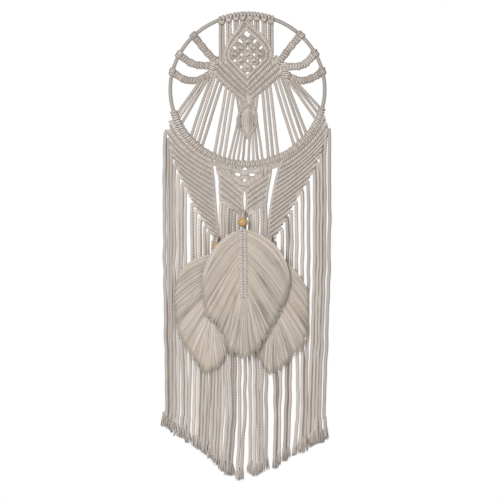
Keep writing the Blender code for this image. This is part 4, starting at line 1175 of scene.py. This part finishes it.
def add_fibres(heap, settings, side):
    """The combed fibres of one side of a feather, gathered to locks that part here and there."""
    along = FIBRE_STEPS
    count = settings["fibres"] // 2
    spread = ((np.arange(count) + rng.random(count)) / count) ** 1.15
    tips = spread + rng.normal(0, 0.004, count)
    for clumps in CLUMPS:
        lock = np.floor(spread * clumps)
        pull = rng.uniform(0.0, CLUMP_PULL, clumps)[lock.astype(int)]
        tips -= (spread * clumps - lock - 0.5) * pull / clumps
    dark = np.zeros(count)
    for middle, half in settings["partings"][side]:
        away = (spread - middle) / half
        tips += np.sign(away) * half * 0.6 * np.exp(-np.abs(away))
        dark += np.exp(-away ** 2)
    reaches = 0.985 - rng.exponential(0.016, count)
    face = np.where(rng.random(count) < FRONT_SHARE, -1.0, 1.0)
    ridge = streaks(spread, *RIDGE_BANDS)
    rise = np.clip(0.8 + ridge - dark, 0.1, 1.6)[:, None] * np.sin(np.pi * along)
    layer = face[:, None] * (0.7 + rise + rng.uniform(0, 0.5, count)[:, None])
    start, gathered = (fibre_paths(settings, side, np.clip(shares, 0.002, 0.998), reaches, layer)
                       for shares in (spread, tips))
    ease = (along ** 1.3)[None, :, None]
    paths = start * (1 - ease) + gathered * ease
    sway = rng.normal(0, 0.45, (count, 1))
    paths[:, :, 0] += sway * np.sin(np.pi * along * rng.uniform(1, 2.5, (count, 1)))
    paths[:, :, 0] += streaks(spread, *SWAY_BANDS)[:, None] * np.sin(2 * np.pi * along)
    radius = FIBRE_RADIUS * np.interp(along, (0, 0.15, 0.85, 1), (0.9, 1.0, 0.9, 0.35))[None]
    tones = streaks(spread, *TONE_BANDS)
    # The feather's own tone; on the side feathers it is raised as painted light that makes up for the weaker
    # light on them behind the front one.
    tones += rng.normal(settings["tone"], 0.3, count)
    # Painted light: fibres on the raised ridges are lighter.
    tones += ridge * 0.3
    # Painted shade in the partings.
    parted = np.interp(along, (0.1, 0.35, 0.85, 1.0), (0, 1, 1, 0.3))
    tones = tones[:, None] - PARTING_PAINTED_SHADE * dark[:, None] * parted
    # Painted light towards the tips.
    tones = tones + settings["tip_tone"][side] * np.interp(along, (0.88, 1.0), (0, 1))
    # Painted shade: darker towards the roots at the spine.
    tones = tones - 0.2 * (1 - along) ** 3
    sweep(heap, paths, radius, radius, DEEP, FIBRE_SIDES, tones)


def make_leaf(name, material, cord_material):
    """A feather: its combed fibres, the double row of knots down its spine, and its hanger."""
    settings = LEAVES[name]
    heap = Heap()
    for side in ("left", "right"):
        add_body(heap, settings, side)
        add_fibres(heap, settings, side)
    ride(heap.build(name + "_fibres", material), "combed_cotton", name)
    heap = Heap()
    for side in (-1, 1):
        row = way(settings["spine"], side * SPINE_KNOT_OFFSET, settings["depth"] - SPINE_KNOT_RISE)
        hitches(heap, row, *SPINE_KNOT_HALVES, "spine", lean=side)
    rope(heap, smooth([place(x, z, y) for x, y, z in settings["hanger"]]), lift=SIDEWAYS)
    ride(heap.build(name + "_spine", cord_material), "cotton_cord", name)


def make_bead(name, material):
    """A turned bead with a rounded rim at each end of its bore."""
    start = math.asin(BORE_RADIUS / BEAD_RADIUS) + 0.1
    ball = [(BEAD_RADIUS * math.sin(angle), BEAD_RADIUS * math.cos(angle))
            for angle in np.linspace(start, math.pi - start, BEAD_ROWS)]
    rim = [(BORE_RADIUS + wider, ball[0][1] - below) for wider, below in RIM]
    profile = rim + ball + [(radius, -height) for radius, height in reversed(rim)]
    x, y, z = BEADS[name]
    centre = place(x, z, y)
    turns = 2 * np.pi * np.arange(BEAD_SIDES) / BEAD_SIDES
    points = np.array([centre + (radius * math.cos(turn), radius * math.sin(turn), height)
                       for radius, height in profile for turn in turns])
    rows = len(profile)
    ring, side = np.meshgrid(np.arange(rows), np.arange(BEAD_SIDES), indexing="ij")
    corners = quads(ring, side, rows, BEAD_SIDES).reshape(-1, 4)
    heap = Heap()
    heap.add(points, np.zeros(len(points)), [(corners, np.zeros((len(points), 4, 2)))])
    ride(heap.build(name + "_turned", material), "bead_wood", name)


# ---------------------------------------------------------------- the studio

def make_studio():
    world = bpy.data.worlds.new("studio")
    bpy.context.scene.world = world
    graph = Graph(world)
    # The wall behind is white to the eye, and the room's own light is dimmer.
    seen = graph.node("LightPath")["Is Camera Ray"]
    graph.surface("Background", Color=(1.0, 1.0, 1.0, 1.0),
                  Strength=graph.math("MULTIPLY_ADD", seen, 1.0 - ROOM_LIGHT, ROOM_LIGHT))
    bpy.context.scene.view_settings.view_transform = "Standard"

    graph = Graph(bpy.data.materials.new("floor_paint"))
    tint = graph.noise(graph.place(), 3.0)
    first, second = COLOURS["floor_paint"]
    mesh = bpy.data.meshes.new("floor")
    corners = [(x * FLOOR_HALF, y * FLOOR_HALF, FLOOR_Z) for x, y in ((-1, -1), (1, -1), (1, 1), (-1, 1))]
    mesh.from_pydata(corners, [], [(0, 1, 2, 3)])
    mesh.materials.append(graph.surface(Base_Color=graph.mix(tint, scaled(first), scaled(second)),
                                        Roughness=0.9))
    floor = linked("floor", mesh)

    target = linked("aim", None)
    target.location = LAMPS_AIM
    for name, (spot, size, power) in LAMPS.items():
        light = bpy.data.lights.new(name, "AREA")
        light.size, light.energy = size, power
        lamp = linked(name, light)
        lamp.location, lamp.visible_camera = spot, False
        aim = lamp.constraints.new("TRACK_TO")
        aim.target, aim.track_axis, aim.up_axis = target, "TRACK_NEGATIVE_Z", "UP_Y"


def make_camera():
    camera = bpy.data.cameras.new("camera")
    camera.sensor_width = SENSOR_WIDTH
    camera.lens = SENSOR_WIDTH * CAMERA_DISTANCE / (IMAGE_SIZE * MM_PER_PIXEL * MM)
    holder = linked("camera", camera)
    holder.location = (PHOTO_CENTRE[0] * MM, -CAMERA_DISTANCE, (PHOTO_CENTRE[1] + CENTRE_Z) * MM)
    holder.rotation_euler = (math.pi / 2, 0, 0)
    bpy.context.scene.camera = holder


def main():
    cord = cotton("cotton_cord")
    fibre = combed("combed_cotton")
    turned = wood("bead_wood")
    make_hoop(cotton("hoop_cord", WRAP_PLIES, WRAP_TWIST))
    for name, fill in NET_PIECES.items():
        heap = Heap()
        fill(heap)
        ride(heap.build(name, cord), "cotton_cord", "macrame_net")
    for name in FRINGES:
        make_fringe(name, cord)
    for name in LEAVES:
        make_leaf(name, fibre, cord)
    for name in BEADS:
        make_bead(name, turned)
    make_studio()
    make_camera()


main()
